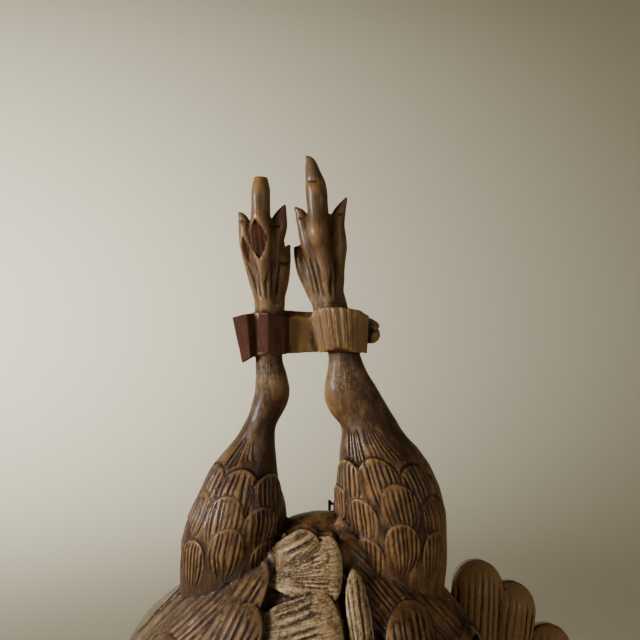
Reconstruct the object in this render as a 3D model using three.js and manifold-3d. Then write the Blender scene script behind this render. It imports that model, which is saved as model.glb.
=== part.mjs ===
// Carved game bird, hung by its feet, as a wall plaque cut from one block of wood.
// Millimetres. X to the right, Z up, the wall is the plane Y = 0 and the bird stands out along -Y.
// The origin is on the flat back, between the bases of the legs.
import * as THREE from 'three';
import { mergeVertices } from 'three/addons/utils/BufferGeometryUtils.js';
import Module from 'manifold-3d';

const wasm = await Module();
wasm.setup();

// Driving dimensions
const LEG_DEPTH = -29;          // how far the middle of each leg stands off the wall
const BACK = 2;                 // every form runs this far behind the wall plane before the back is cut flat
const SIZE_LIMIT = 400;         // half the side of the block that the back is cut with
const SINK = 3;                 // how deep a feather's underside is let into what carries it
const BLUNT = 1.1;              // a feather's rounded tip is this long, in half widths

// Legs: [x, y, z, half width, half depth] from the root inside the body, over the hock, to the ankle
const LEFT_LEG = [
  [-42, -28, -4, 22, 20],
  [-41, -28, 20, 25.2, 23],
  [-39, -29, 40, 25.3, 23.5],
  [-36, -29, 54, 23.8, 22.5],
  [-34, -29, 69, 18.8, 18.5],
  [-30.2, -29, 82, 13.1, 13],
  [-27.7, -29, 90.8, 9.4, 10],
  [-25.4, -29, 98.5, 7.6, 8],
  [-23, -29, 105, 8, 7.6],
  [-20, -29.5, 112.6, 8.7, 7.6],
  [-20.1, -30, 120, 8.1, 7],
  [-21.4, -30, 130.4, 6.7, 6],
  [-21.2, -30, 142, 7, 5.6],
  [-21, -30, 158, 7.4, 5.6],
];
const RIGHT_LEG = [
  [40, -28, -4, 22, 20],
  [40.3, -28, 20, 26.2, 23],
  [40.3, -29, 40, 27, 24],
  [39, -29, 55, 27.2, 23.5],
  [36, -29, 70, 24.4, 21.5],
  [31.2, -29, 85, 18.4, 17],
  [28.1, -29, 96.5, 14.1, 13],
  [25, -29, 104, 12.6, 11],
  [20, -29.5, 111.5, 13.2, 9.6],
  [18.2, -30, 117, 12.3, 8.5],
  [17, -30, 125.2, 9.5, 7.2],
  [15.8, -30, 132.7, 7.8, 6.4],
  [13, -30, 144, 7.4, 6],
  [9.5, -30, 158, 7.4, 6],
];

// Palms, where the toes grow together
const LEFT_PALM = [
  [-21.2, -30, 146, 6.8, 5.2],
  [-21.2, -30, 157, 7.5, 4.8],
  [-21.4, -30, 166, 8.2, 4.4],
  [-21.8, -30, 176, 9.6, 4.2],
  [-22.8, -30, 187, 9.2, 4],
  [-24, -31, 198, 7.6, 3.4],
];
const RIGHT_PALM = [
  [11.6, -30, 146, 8.2, 5.2],
  [9.4, -30, 155, 8.6, 5],
  [6.8, -30, 166, 8.7, 4.4],
  [5.5, -30, 178, 9.6, 4.2],
  [5, -30, 190, 10, 4],
  [4, -31, 202, 8.6, 3.4],
];

// Tips of the carved thigh feathers: [angle round the leg in degrees, height], 90 faces the viewer
const LEFT_SCALES = [
  [152, 80], [97, 79], [46, 76], [148, 67.5], [105, 67.5], [58, 62],
  [134, 46], [94, 53], [48, 46], [165, 52],
];
const RIGHT_SCALES = [
  [140, 83], [96, 85], [48, 81], [124, 66], [80, 73.5], [40, 66], [158, 70],
  [84, 55.5], [46, 50], [120, 48], [152, 52],
];
const BACK_SCALES = [[-80, 74], [198, 60]];
const SCALE_LENGTH = 25;
const SCALE_SHAPE = { width: 16.5, crown: 0.3, lift: 1.3, sink: 2 };

// Toes: [x, y, z, half width, half depth] from the ankle to the claw or the broken end
const LEFT_TOES = {
  middle: [
    [-22, -32, 155, 4.4, 4.6],
    [-23.8, -33, 176, 4.8, 5.2],
    [-25, -34, 192, 5.4, 5.8],
    [-25.3, -34, 204, 4.8, 4.8],
    [-25.2, -34, 214, 4.7, 4.6],
    [-25.2, -33.6, 220.6, 3.3, 3.4],
  ],
  outer: [
    [-25, -30, 158, 3.2, 3.6],
    [-28.8, -30, 174, 3.9, 4.2],
    [-32, -31, 187, 4.1, 4.4],
    [-33.2, -31, 196, 3.4, 3.8],
    [-34.4, -31.5, 200.5, 2.5, 2.6],
    [-36.5, -32, 203.6, 0.7, 0.8],
  ],
  inner: [
    [-19.6, -30, 158, 3, 3.6],
    [-18.6, -30.5, 176, 3.8, 4.2],
    [-18.2, -31, 187, 3.6, 4],
    [-16.5, -31, 196, 4.1, 4],
    [-15.9, -31, 200.5, 3.7, 3.6],
    [-14.2, -31.5, 205, 1.7, 2],
    [-13.2, -32, 207.3, 0.5, 0.6],
  ],
  hind: [
    [-18.2, -28, 156, 3.4, 3.6],
    [-16, -27.5, 170, 4.4, 4.4],
    [-14.6, -27, 179, 3.9, 4],
    [-13.2, -27, 184.5, 2.5, 2.8],
    [-11.2, -27, 187.9, 0.6, 0.7],
  ],
};
const RIGHT_TOES = {
  middle: [
    [9, -32, 155, 4.6, 4.6],
    [7.2, -33, 172, 4.6, 5],
    [4.8, -34, 184, 4.6, 5.2],
    [3.1, -35, 192, 5.5, 6],
    [2.9, -34.5, 203, 5.1, 5],
    [2.1, -34, 214, 5.4, 5],
    [0.6, -33.5, 222, 4.1, 4],
    [-0.9, -33, 228.4, 2.5, 2.6],
    [-3.2, -32.6, 231.6, 0.6, 0.7],
  ],
  inner: [
    [5.4, -30, 156, 3.2, 3.6],
    [1.9, -30.5, 174, 3.6, 4.2],
    [-1.8, -31, 187, 3.8, 4.4],
    [-3.9, -31, 197, 3.5, 3.8],
    [-5.6, -31.5, 202.4, 2.8, 2.6],
    [-8.6, -32, 206.1, 0.6, 0.7],
  ],
  outer: [
    [12, -30, 156, 3.6, 3.8],
    [12.3, -30.5, 174, 4, 4.2],
    [12.9, -31, 186.5, 4.6, 4.6],
    [12.5, -31, 198, 3.9, 4],
    [13.9, -31.5, 204, 3, 2.9],
    [17.2, -32, 210.8, 0.5, 0.6],
  ],
  hind: [
    [4.2, -28, 156, 3, 3.6],
    [-0.8, -27.5, 167, 3.6, 4],
    [-4.2, -27, 176, 3.8, 4],
    [-5.8, -27, 183, 3.3, 3.4],
    [-7, -27, 187.2, 2.2, 2.4],
  ],
};

// Binding round the ankles, seen from above: [x, y] of the broken left wrap and the strap, then the flutes of
// the right wrap as [width, depth]. Its top and bottom edges are [x, z], and its ends slant by [x, shift].
const BINDING_BACK = -20;
const BROKEN_WRAP = [
  [-40, -20],
  [-39.5, -33.5],
  [-32, -37.5],
  [-28.3, -34.8],
  [-21.5, -39.2],
  [-12.4, -36],
  [-11.2, -32.6],
  [-1, -32.2],
];
const WRAP = { left: -0.4, front: -42, side: -34, bowEnds: 0.06, bowPower: 0.7 };
const FLUTES = [
  [2.2, 0.5],
  [3.9, 0.9],
  [2.2, 0.7],
  [2.7, 0.9],
  [5.1, 1.1],
  [2.7, 0.7],
  [2.9, 0.8],
  [3.2, 0.6],
  [3.7, 0.4],
];
const FLUTE_STEPS = 3;
const BINDING_TOPS = [
  [-41, 151], [-28, 153.9], [-14, 152.7], [-11, 151.3], [-0.4, 151.2], [1.2, 155],
  [6, 156.4], [11, 156.3], [18, 155.8], [24, 154.6], [28.2, 152],
];
const BINDING_BOTTOMS = [
  [-35.2, 128.2], [-28.7, 132], [-26.3, 134.2], [-15, 133.7], [-12.6, 133.1], [-4.3, 135.3], [0, 135],
  [4.5, 133.8], [7.4, 135], [12.2, 137.1], [15.1, 137.1], [20.4, 135], [23.3, 134], [27.2, 133.7],
];
const BINDING_SLANT = [[-40, 5.2], [-27.5, 0], [-11.2, 0], [-0.4, 4.4], [28.2, -1]];
const TWIG = [
  [-14, -27, 150.8, 4.2, 4.2],
  [6, -27, 149.6, 4, 4.2],
  [27, -27, 146.8, 4.8, 4.4],
  [31.6, -27, 143.6, 3.8, 3.8],
];
const TWIG_KNOB = { x: 29.6, y: -27, z: 142.6, width: 4.8, depth: 5, height: 4.5 };

// Body: outline at the wall as [x, z], the middle it bulges from, and its depth at each height as [z, depth]
const BODY_MIDDLE = [0, -75];
const BODY_OUTLINE = [
  [0, 43], [-20, 37], [-44, 27], [-69, 9], [-91, -10], [-104, -38], [-107, -75], [-101, -112], [-86, -147],
  [-62, -177], [-38, -203], [0, -226], [38, -203], [62, -177], [86, -147], [100, -112], [104, -75], [98, -38],
  [83, -12], [68, 9], [48, 28], [24, 39],
];
const BODY_DEPTHS = [
  [-226, 46], [-180, 70], [-140, 90], [-100, 97], [-60, 93],
  [-20, 82], [10, 68], [35, 56], [60, 46],
];
const BODY_EDGE = 3.4;          // how square the body turns to the wall: 2 is round, more is squarer
const LEAN = { slope: 0.27, from: -20, full: 30 };   // the top of the body rises as it comes off the wall

// Smooth dome at the root of the tail, between the legs
const DOME = { x: 6, y: -34, z: 33, width: 33, depth: 18, height: 22.5 };

// Feathers under the tail: [root x, z], [tip x, z], width, crown, lift, and how blunt the tip is
const VENT_FEATHERS = [
  { root: [-23, 33.5], tip: [4.5, 47.5], width: 17, crown: 3.4, lift: 5.5 },
  { root: [-30, 34], tip: [15, 36], width: 28, crown: 3, lift: 6, blunt: 0.42 },
  { root: [-30, 6], tip: [14.5, 13], width: 30, crown: 3.4, lift: 7, blunt: 0.5 },
  { root: [27, -25], tip: [19, 36.5], width: 13, crown: 3.6, lift: 6.5, blunt: 3.2 },
  { root: [32, -40], tip: [27.5, 8], width: 13, crown: 3, lift: 7, blunt: 3 },
  { root: [-16, -50], tip: [4, -10], width: 28, crown: 3.5, lift: 6 },
];

// Flank feathers, from the left flank over to the right one
const FLANK_FEATHERS = [
  { root: [-96.4, -27.9], tip: [-17.4, 41.1], width: 27, crown: 3.5, lift: 4.5, blunt: 3 },
  { root: [-72, -30], tip: [-20.5, 37], width: 20, crown: 3, lift: 7, blunt: 2.6 },
  { root: [-60, -40], tip: [-27, 23], width: 23, crown: 4, lift: 7 },
  { root: [-92, -50], tip: [-60, 3], width: 22, crown: 3, lift: 5 },
  { root: [88, -30], tip: [13, 49], width: 32, crown: 2.5, lift: 3, blunt: 6 },
  { root: [52, -48], tip: [43, 21], width: 24, crown: 3, lift: 5, blunt: 1.2 },
  { root: [90, -58], tip: [69, 0], width: 24, crown: 3, lift: 4.5 },
];
const PLUMAGE_SINK = 6;

// The worn edge of the tail's root, right of the middle, as [x, z], with its half width and half depth
const TAIL_EDGE = [[11.5, 53], [18, 46.4], [23.2, 37.4], [27.4, 26.7], [31, 15.7], [33.6, 6.5], [35, -2]];
const TAIL_EDGE_HALF = [4.6, 4];
const TAIL_EDGE_SINK = 1.5;

// Breast feathers below, in staggered rows whose tips point up to the tail
const BREAST = { top: -30, counts: [4, 5, 4, 3], rowStep: 36, spacing: 37, closing: 0.05, length: 52 };
const BREAST_FEATHER = { width: 39, crown: 3, lift: 4.5 };

// Feathers on the sides of the body: tips as [depth off the wall, height]
const SIDE_TIPS = [[-70, -22], [-44, -34], [-74, -66], [-48, -78], [-74, -110], [-48, -122], [-52, -150]];
const SIDE_LENGTH = 54;
const SIDE_FEATHER = { width: 34, crown: 3, lift: 4.5, sink: 8 };
const SIDE_DEEPEST = 0.995;     // share of the body's depth that the side reaches at most
const OUTLINE_STEPS = 200;

// Wings: long feathers from the front one to the hindmost, [root x, z], [tip x, z], and their stand-off
const WING_TIPS = [
  { root: [82, -66], tip: [88.8, 22.4], front: 24 },
  { root: [92, -78], tip: [107.4, 11], front: 21 },
  { root: [100, -92], tip: [129.4, -12.4], front: 18 },
  { root: [103, -106], tip: [145, -40], front: 16.5 },
  { root: [102, -118], tip: [153, -72], front: 15.5 },
  { root: [97, -128], tip: [154, -105], front: 14.5 },
  { root: [90, -137], tip: [147, -136], front: 14 },
];
const LEFT_WING_DROP = 42;      // the left wing hangs this much lower, and its fan is this much narrower
const LEFT_WING_CLOSE = 0.97;
const WING_FEATHER = { width: 28, crown: 6, rim: 8, undercut: 0.16, coverLength: 0.5, coverStep: 8 };
const SHOULDER = [
  [86, -16, -58, 14, 12],
  [92, -18, -88, 20, 17],
  [88, -19, -122, 21, 19],
  [70, -20, -152, 16, 18],
];

// Neck and head: [x, y, z, half width, half depth]
const NECK = [
  [0, -30, -150, 34, 38],
  [0, -32, -170, 38, 37],
  [1, -33, -190, 37, 35],
  [2, -32, -207, 33, 33],
  [5, -30, -224, 26, 30],
  [10, -27, -243, 20.5, 25],
  [16, -26, -261, 21, 24],
  [17, -24, -275, 18, 20],
  [15, -22, -286, 9, 10],
];
const BEAK = [
  [8, -26, -270, 10, 11],
  [-5, -25, -279, 7.4, 9],
  [-17, -23, -287, 4, 6],
  [-25, -20, -295, 0.8, 1],
];
const EYE = { x: 8, y: -46, z: -264, radius: 4 };

// Hanging loop of wire at the back of the crotch
const LOOP = { x: 11, y: -5, top: 56, bottom: 34, radius: 0.75, halfGap: 1.9 };
const LOOP_FACETS = { bends: 6, steps: 18, curveSegments: 3 };
const HOLE_GAP = 0.3;

// Spokes round each form and rings from end to end; a limb without rings takes one for each section
const FACETS = {
  body: [32, 9],
  dome: [12, 8],
  leg: [11],
  palm: [7],
  toe: [6],
  feather: [8, 3],
  ventFeather: [8, 4],
  wingFeather: [8, 4],
  twig: [7],
  knob: [7, 5],
  tailEdge: [6],
  shoulder: [8],
  neck: [10],
  beak: [6],
  eye: [7, 5],
};

const clamp = (value, low, high) => Math.min(high, Math.max(low, value));

// A closed solid from a shape whose vertices are merged, with its faces pointing out
function solid(shape) {
  shape.deleteAttribute('normal');
  shape.deleteAttribute('uv');
  const merged = mergeVertices(shape, 1e-4);
  const points = Float32Array.from(merged.getAttribute('position').array);
  const corners = Array.from(merged.getIndex().array);
  const faces = [];
  let volume = 0;
  const a = new THREE.Vector3();
  const b = new THREE.Vector3();
  const c = new THREE.Vector3();
  for (let i = 0; i < corners.length; i += 3) {
    const [p, q, r] = corners.slice(i, i + 3);
    if (p === q || q === r || r === p) continue;
    faces.push([p, q, r]);
    a.fromArray(points, 3 * p);
    b.fromArray(points, 3 * q);
    c.fromArray(points, 3 * r);
    volume += a.dot(b.cross(c));
  }
  const triVerts = Uint32Array.from(faces.flatMap(([p, q, r]) => (volume < 0 ? [p, r, q] : [p, q, r])));
  return new wasm.Manifold(new wasm.Mesh({ numProp: 3, vertProperties: points, triVerts }));
}

// A sphere whose rings, numbered from pole to pole, and spokes are laid out anew by at(ring, angle)
function form(spokes, rings, at) {
  const shape = new THREE.SphereGeometry(1, spokes, rings);
  const place = shape.getAttribute('position');
  for (let i = 0; i < place.count; i += 1) {
    const ring = Math.round((Math.acos(clamp(place.getY(i), -1, 1)) / Math.PI) * rings);
    const angle = Math.atan2(place.getZ(i), place.getX(i));
    place.setXYZ(i, ...at(ring, angle));
  }
  return shape;
}

// A round limb through sections, each [x, y, z, half width, half depth]
function limb(sections, [spokes, rings = sections.length + 1]) {
  const line = new THREE.CatmullRomCurve3(sections.map(([x, y, z]) => new THREE.Vector3(x, y, z)));
  line.curveType = 'catmullrom';
  const girth = new THREE.CatmullRomCurve3(sections.map((s) => new THREE.Vector3(s[3], s[4], 0)));
  girth.curveType = 'catmullrom';
  const towards = new THREE.Vector3(0, -1, 0);
  return form(spokes, rings, (ring, angle) => {
    const t = clamp((ring - 1) / (rings - 2), 0, 1);
    const open = ring === 0 || ring === rings ? 0 : 1;
    const half = girth.getPoint(t);
    const across = towards.clone().cross(line.getTangent(t)).normalize();
    const point = line.getPoint(t);
    point.addScaledVector(across, open * half.x * Math.cos(angle));
    point.addScaledVector(towards, open * half.y * Math.sin(angle));
    return point.toArray();
  });
}

function ball({ x, y, z, width, depth, height }, [spokes, rings]) {
  const shape = new THREE.SphereGeometry(1, spokes, rings);
  shape.scale(width, height, depth);
  shape.rotateX(Math.PI / 2);
  shape.translate(x, y, z);
  return shape;
}

// Value at a place, read between the steps of a table of [place, value] with rising places
function readTable(table, place) {
  const next = table.findIndex(([step]) => step > place);
  if (next === 0) return table[0][1];
  if (next < 0) return table[table.length - 1][1];
  const [low, lowValue] = table[next - 1];
  const [high, highValue] = table[next];
  return lowValue + ((highValue - lowValue) * (place - low)) / (high - low);
}

// The body's outline at the wall
function bodyOutline() {
  const outline = new THREE.CatmullRomCurve3(BODY_OUTLINE.map(([x, z]) => new THREE.Vector3(x, 0, z)), true);
  outline.curveType = 'catmullrom';
  return outline;
}

// The body as a bulge inside its outline on the wall
function body() {
  const outline = bodyOutline();
  const [spokes, rings] = FACETS.body;
  const [middleX, middleZ] = BODY_MIDDLE;
  return form(spokes, rings, (ring, angle) => {
    const rim = outline.getPoint((angle / (2 * Math.PI) + 1) % 1);
    const out = ring === rings ? 0 : Math.sin((Math.PI / 2) * clamp(ring / (rings - 2), 0, 1));
    const x = middleX + (rim.x - middleX) * out;
    const z = middleZ + (rim.z - middleZ) * out;
    const behind = ring > rings - 2;
    const depth = behind ? 0 : readTable(BODY_DEPTHS, z) * (1 - out ** BODY_EDGE) ** (1 / BODY_EDGE);
    const lean = LEAN.slope * clamp((z - LEAN.from) / (LEAN.full - LEAN.from), 0, 1);
    return [x, behind ? BACK : BACK / 2 - depth, z + lean * depth];
  });
}

// A feather laid on a skin: skin([p, q], height) gives the place of a point that high above the surface.
// head is the share of its length that the rounded tip takes. undercut draws its underside in from the rim.
function feather(skin, shape, [spokes, rings] = FACETS.feather) {
  const { root, tip, width, crown, lift, blunt = BLUNT, sink = SINK, undercut = 0 } = shape;
  const along = [tip[0] - root[0], tip[1] - root[1]];
  const length = Math.hypot(...along);
  const across = [-along[1] / length, along[0] / length];
  const head = Math.min(0.5, (0.5 * width * blunt) / length);
  return form(spokes, rings, (ring, turn) => {
    const rim = ring === rings ? 0 : Math.sin((Math.PI / 2) * clamp(ring / (rings - 2), 0, 1));
    const out = ring === rings - 1 ? rim * (1 - undercut) : rim;
    const reach = Math.cos(turn) * (Math.cos(turn) > 0 ? head : 1 - head);
    const side = 0.5 * width * Math.sin(turn) * out;
    const far = 1 - head + reach * out;
    const height = ring > rings - 2 ? -sink : lift * far + crown * (1 - rim * rim);
    const place = [0, 1].map((k) => root[k] + along[k] * far + across[k] * side);
    return skin(place, height);
  });
}

// The skin of a leg: p is the angle round it in degrees, q the height
function legSkin(sections) {
  const girth = (height) => {
    const i = clamp(sections.findIndex((s) => s[2] > height), 1, sections.length - 1);
    const [low, high] = [sections[i - 1], sections[i]];
    const t = (height - low[2]) / (high[2] - low[2]);
    return low.map((value, k) => value + (high[k] - value) * t);
  };
  return ([p, q], height) => {
    const [x, y, , halfWidth, halfDepth] = girth(q);
    const angle = THREE.MathUtils.degToRad(p);
    return [x + (halfWidth + height) * Math.cos(angle), y - (halfDepth + height) * Math.sin(angle), q];
  };
}

function thighFeathers(sections, tips) {
  const skin = legSkin(sections);
  return tips.map(([angle, height]) => {
    const girth = (Math.PI / 180) * (skin([0, height], 0)[0] - skin([180, height], 0)[0]) / 2;
    const wrapped = ([p, q], lift) => skin([p / girth, q], lift);
    const round = angle * girth;
    return feather(wrapped, { ...SCALE_SHAPE, root: [round, height - SCALE_LENGTH], tip: [round, height] });
  });
}

// The skin of one side of the body, +1 the right: p is the depth off the wall, q the height
function sideSkin(side) {
  const rim = bodyOutline().getPoints(OUTLINE_STEPS)
    .filter(({ x }) => x * side > 1)
    .map(({ x, z }) => [z, Math.abs(x)])
    .sort((a, b) => a[0] - b[0]);
  return ([p, q], height) => {
    const out = clamp((BACK / 2 - p) / readTable(BODY_DEPTHS, q), 0, SIDE_DEEPEST);
    const reach = readTable(rim, q) * (1 - out ** BODY_EDGE) ** (1 / BODY_EDGE);
    return [side * (reach + height), p, q];
  };
}

function sideFeathers(side) {
  const skin = sideSkin(side);
  return SIDE_TIPS.map(([p, q]) => {
    const ends = { root: [p, q - SIDE_LENGTH], tip: [p, q] };
    return feather(skin, { ...SIDE_FEATHER, ...ends });
  });
}

// The front skin of some shapes, found by looking along +Y at them
function frontSkin(shapes, fallback) {
  const seen = new THREE.MeshBasicMaterial({ side: THREE.DoubleSide });
  const meshes = shapes.map((shape) => new THREE.Mesh(shape, seen));
  const ray = new THREE.Raycaster();
  const inward = new THREE.Vector3(0, 1, 0);
  return ([p, q], height) => {
    ray.set(new THREE.Vector3(p, -SIZE_LIMIT, q), inward);
    const [hit] = ray.intersectObjects(meshes);
    return [p, Math.min(BACK, (hit ? hit.point.y : fallback) - height), q];
  };
}

// The binding: an outline seen from above, split into facets on the left and fluted on the right
function binding() {
  const plan = new THREE.Shape();
  const [start, ...steps] = BROKEN_WRAP;
  plan.moveTo(...start);
  steps.forEach((step) => plan.lineTo(...step));
  const wide = FLUTES.reduce((sum, [width]) => sum + width, 0);
  let from = 0;
  FLUTES.forEach(([width, depth]) => {
    for (let i = 0; i < FLUTE_STEPS; i += 1) {
      const across = from + (width * i) / FLUTE_STEPS;
      const turn = Math.PI * (WRAP.bowEnds + (1 - 2 * WRAP.bowEnds) * (across / wide));
      const bow = Math.sin(turn) ** WRAP.bowPower;
      const hollow = 0.5 * depth * (1 - Math.cos((2 * Math.PI * i) / FLUTE_STEPS));
      plan.lineTo(WRAP.left + across, WRAP.side + (WRAP.front - WRAP.side) * bow + hollow);
    }
    from += width;
  });
  plan.lineTo(WRAP.left + wide, WRAP.side);
  plan.lineTo(WRAP.left + wide, BINDING_BACK);
  BINDING_BOTTOMS.slice(1, -1).reverse().forEach(([x]) => plan.lineTo(x, BINDING_BACK));
  const shape = new THREE.ExtrudeGeometry(plan, { depth: 1, steps: 1, bevelEnabled: false });
  const place = shape.getAttribute('position');
  for (let i = 0; i < place.count; i += 1) {
    const x = place.getX(i);
    if (place.getZ(i) > 0.5) {
      place.setZ(i, readTable(BINDING_TOPS, x));
    } else {
      const slanted = x + readTable(BINDING_SLANT, x);
      place.setX(i, slanted);
      place.setZ(i, readTable(BINDING_BOTTOMS, slanted));
    }
  }
  return shape;
}

function wing(side, drop, close) {
  const skin = (front, root, tip) => ([p, q], height) => {
    const far = clamp(((p - root[0]) * (tip[0] - root[0]) + (q - root[1]) * (tip[1] - root[1]))
      / ((tip[0] - root[0]) ** 2 + (tip[1] - root[1]) ** 2), 0, 1);
    const stand = -front + (front - WING_FEATHER.rim) * far;
    return [p, height < 0 ? BACK : stand - height, q];
  };
  const turned = ([x, z]) => [side * x * close, z - drop];
  return WING_TIPS.flatMap(({ root, tip, front }) => {
    const [start, end] = [turned(root), turned(tip)];
    const cover = [start[0] + (end[0] - start[0]) * WING_FEATHER.coverLength,
      start[1] + (end[1] - start[1]) * WING_FEATHER.coverLength];
    const over = front + WING_FEATHER.coverStep;
    const { width, crown, undercut } = WING_FEATHER;
    const shape = { width, crown, undercut, lift: 0 };
    return [
      feather(skin(front, start, end), { ...shape, root: start, tip: end }, FACETS.wingFeather),
      feather(skin(over, start, cover), { ...shape, root: start, tip: cover }),
    ];
  });
}

function shoulder(side, drop, close) {
  return limb(SHOULDER.map(([x, y, z, w, d]) => [side * x * close, y, z - drop, w, d]), FACETS.shoulder);
}

function breastFeathers() {
  return BREAST.counts.flatMap((count, row) => {
    const height = BREAST.top - row * BREAST.rowStep;
    const spacing = BREAST.spacing * (1 - BREAST.closing * row);
    return Array.from({ length: count }, (_, i) => {
      const x = (i - (count - 1) / 2) * spacing;
      return { root: [0.9 * x, height - BREAST.length], tip: [x, height], ...BREAST_FEATHER };
    });
  });
}

function toes(foot) {
  return Object.values(foot).map((sections) => limb(sections, FACETS.toe));
}

// The wire: a narrow upside-down U, let into two blind holes
function wire(radius) {
  const { x, y, top, bottom, halfGap } = LOOP;
  const { bends, steps, curveSegments } = LOOP_FACETS;
  const level = top - halfGap - LOOP.radius;
  const legHeights = [bottom, (bottom + level) / 2, level - halfGap];
  const route = legHeights.map((z) => new THREE.Vector3(x - halfGap, y, z));
  for (let i = 0; i <= bends; i += 1) {
    const turn = Math.PI * (1 - i / bends);
    route.push(new THREE.Vector3(x + halfGap * Math.cos(turn), y, level + halfGap * Math.sin(turn)));
  }
  route.push(...legHeights.reverse().map((z) => new THREE.Vector3(x + halfGap, y, z)));
  const path = new THREE.CatmullRomCurve3(route);
  const section = new THREE.Shape();
  section.absarc(0, 0, radius, 0, 2 * Math.PI, false);
  return new THREE.ExtrudeGeometry(section, { steps, extrudePath: path, curveSegments, bevelEnabled: false });
}

function join(shapes) {
  return wasm.Manifold.union(shapes.map(solid));
}

function carvedBird() {
  const torso = body();
  const dome = ball(DOME, FACETS.dome);
  const skin = frontSkin([torso, dome], LEG_DEPTH);
  const sunk = (shape) => ({ ...shape, sink: PLUMAGE_SINK });
  const vent = VENT_FEATHERS.map((shape) => feather(skin, sunk(shape), FACETS.ventFeather));
  const flanks = FLANK_FEATHERS.map((shape) => feather(skin, sunk(shape)));
  const breast = breastFeathers().map((shape) => feather(skin, shape));
  const tailEdge = TAIL_EDGE.map(([x, z]) => [x, skin([x, z], -TAIL_EDGE_SINK)[1], z, ...TAIL_EDGE_HALF]);
  let bird = join([
    torso,
    dome,
    limb(LEFT_LEG, FACETS.leg),
    limb(RIGHT_LEG, FACETS.leg),
    ...thighFeathers(LEFT_LEG, [...LEFT_SCALES, ...BACK_SCALES]),
    ...thighFeathers(RIGHT_LEG, [...RIGHT_SCALES, ...BACK_SCALES]),
    limb(LEFT_PALM, FACETS.palm),
    limb(RIGHT_PALM, FACETS.palm),
    ...toes(LEFT_TOES),
    ...toes(RIGHT_TOES),
    binding(),
    limb(TWIG, FACETS.twig),
    ball(TWIG_KNOB, FACETS.knob),
    ...vent,
    ...flanks,
    limb(tailEdge, FACETS.tailEdge),
    ...breast,
    ...sideFeathers(1),
    ...sideFeathers(-1),
    ...wing(1, 0, 1),
    ...wing(-1, LEFT_WING_DROP, LEFT_WING_CLOSE),
    shoulder(1, 0, 1),
    shoulder(-1, LEFT_WING_DROP / 2, LEFT_WING_CLOSE),
    limb(NECK, FACETS.neck),
    limb(BEAK, FACETS.beak),
    ball({ ...EYE, width: EYE.radius, depth: EYE.radius, height: EYE.radius }, FACETS.eye),
  ]);
  const front = new THREE.BoxGeometry(2 * SIZE_LIMIT, SIZE_LIMIT, 2 * SIZE_LIMIT);
  front.translate(0, -SIZE_LIMIT / 2, 0);
  bird = bird.intersect(solid(front));
  return bird.subtract(solid(wire(LOOP.radius + HOLE_GAP)));
}

// A named mesh, in its place, from a solid
function named(name, made, material) {
  const mesh = made.getMesh();
  const shape = new THREE.BufferGeometry();
  shape.setAttribute('position', new THREE.BufferAttribute(Float32Array.from(mesh.vertProperties), 3));
  shape.setIndex(new THREE.BufferAttribute(Uint32Array.from(mesh.triVerts), 1));
  shape.computeVertexNormals();
  const piece = new THREE.Mesh(shape, material);
  piece.name = name;
  return piece;
}

const wood = new THREE.MeshStandardMaterial({ color: 0x7a5a3a, roughness: 0.45, metalness: 0 });
const iron = new THREE.MeshStandardMaterial({ color: 0x24211f, roughness: 0.4, metalness: 0.9 });

const plaque = new THREE.Group();
plaque.add(named('carved_bird', carvedBird(), wood));
plaque.add(named('hanging_loop', solid(wire(LOOP.radius)), iron));

export default plaque;
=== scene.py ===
"""Looks of a carved wooden game bird that hangs head down from a wall by its bound feet."""

import math

import bpy
import numpy as np
from bpy.props import FloatProperty, FloatVectorProperty, IntProperty
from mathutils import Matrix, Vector
from mathutils.bvhtree import BVHTree


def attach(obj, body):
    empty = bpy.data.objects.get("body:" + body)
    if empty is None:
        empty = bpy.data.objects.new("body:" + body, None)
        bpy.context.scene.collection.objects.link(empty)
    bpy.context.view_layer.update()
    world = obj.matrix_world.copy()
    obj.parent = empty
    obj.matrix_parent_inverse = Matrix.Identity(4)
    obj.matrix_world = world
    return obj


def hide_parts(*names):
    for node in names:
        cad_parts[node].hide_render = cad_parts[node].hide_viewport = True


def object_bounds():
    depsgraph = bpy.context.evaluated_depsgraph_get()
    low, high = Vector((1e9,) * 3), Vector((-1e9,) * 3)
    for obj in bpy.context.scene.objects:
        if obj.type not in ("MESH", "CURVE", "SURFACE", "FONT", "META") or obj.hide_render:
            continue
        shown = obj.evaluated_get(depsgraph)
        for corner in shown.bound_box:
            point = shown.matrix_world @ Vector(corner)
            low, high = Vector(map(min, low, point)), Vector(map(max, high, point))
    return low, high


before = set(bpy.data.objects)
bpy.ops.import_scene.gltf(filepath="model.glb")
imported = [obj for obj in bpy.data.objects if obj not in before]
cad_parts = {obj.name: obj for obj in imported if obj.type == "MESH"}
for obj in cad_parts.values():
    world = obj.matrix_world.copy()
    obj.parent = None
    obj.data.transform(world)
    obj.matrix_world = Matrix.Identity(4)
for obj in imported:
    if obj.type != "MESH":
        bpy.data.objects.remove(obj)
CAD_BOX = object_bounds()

bl_info = {
    "name": "Carved game bird plaque",
    "version": (1, 0, 0),
    "blender": (4, 5, 0),
    "location": "View3D > Sidebar > Carving",
    "description": "Carves a hung game bird, its hanging wire and its studio",
    "category": "Object",
}

# Lengths below are millimetres in the CAD model's frame, and meshes are written in metres. Forms reach a
# little past the wall, to BACK, until the back is cut flat
MM = 0.001
BACK = 2.0
BIRD = "carved_bird_wood"

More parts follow.
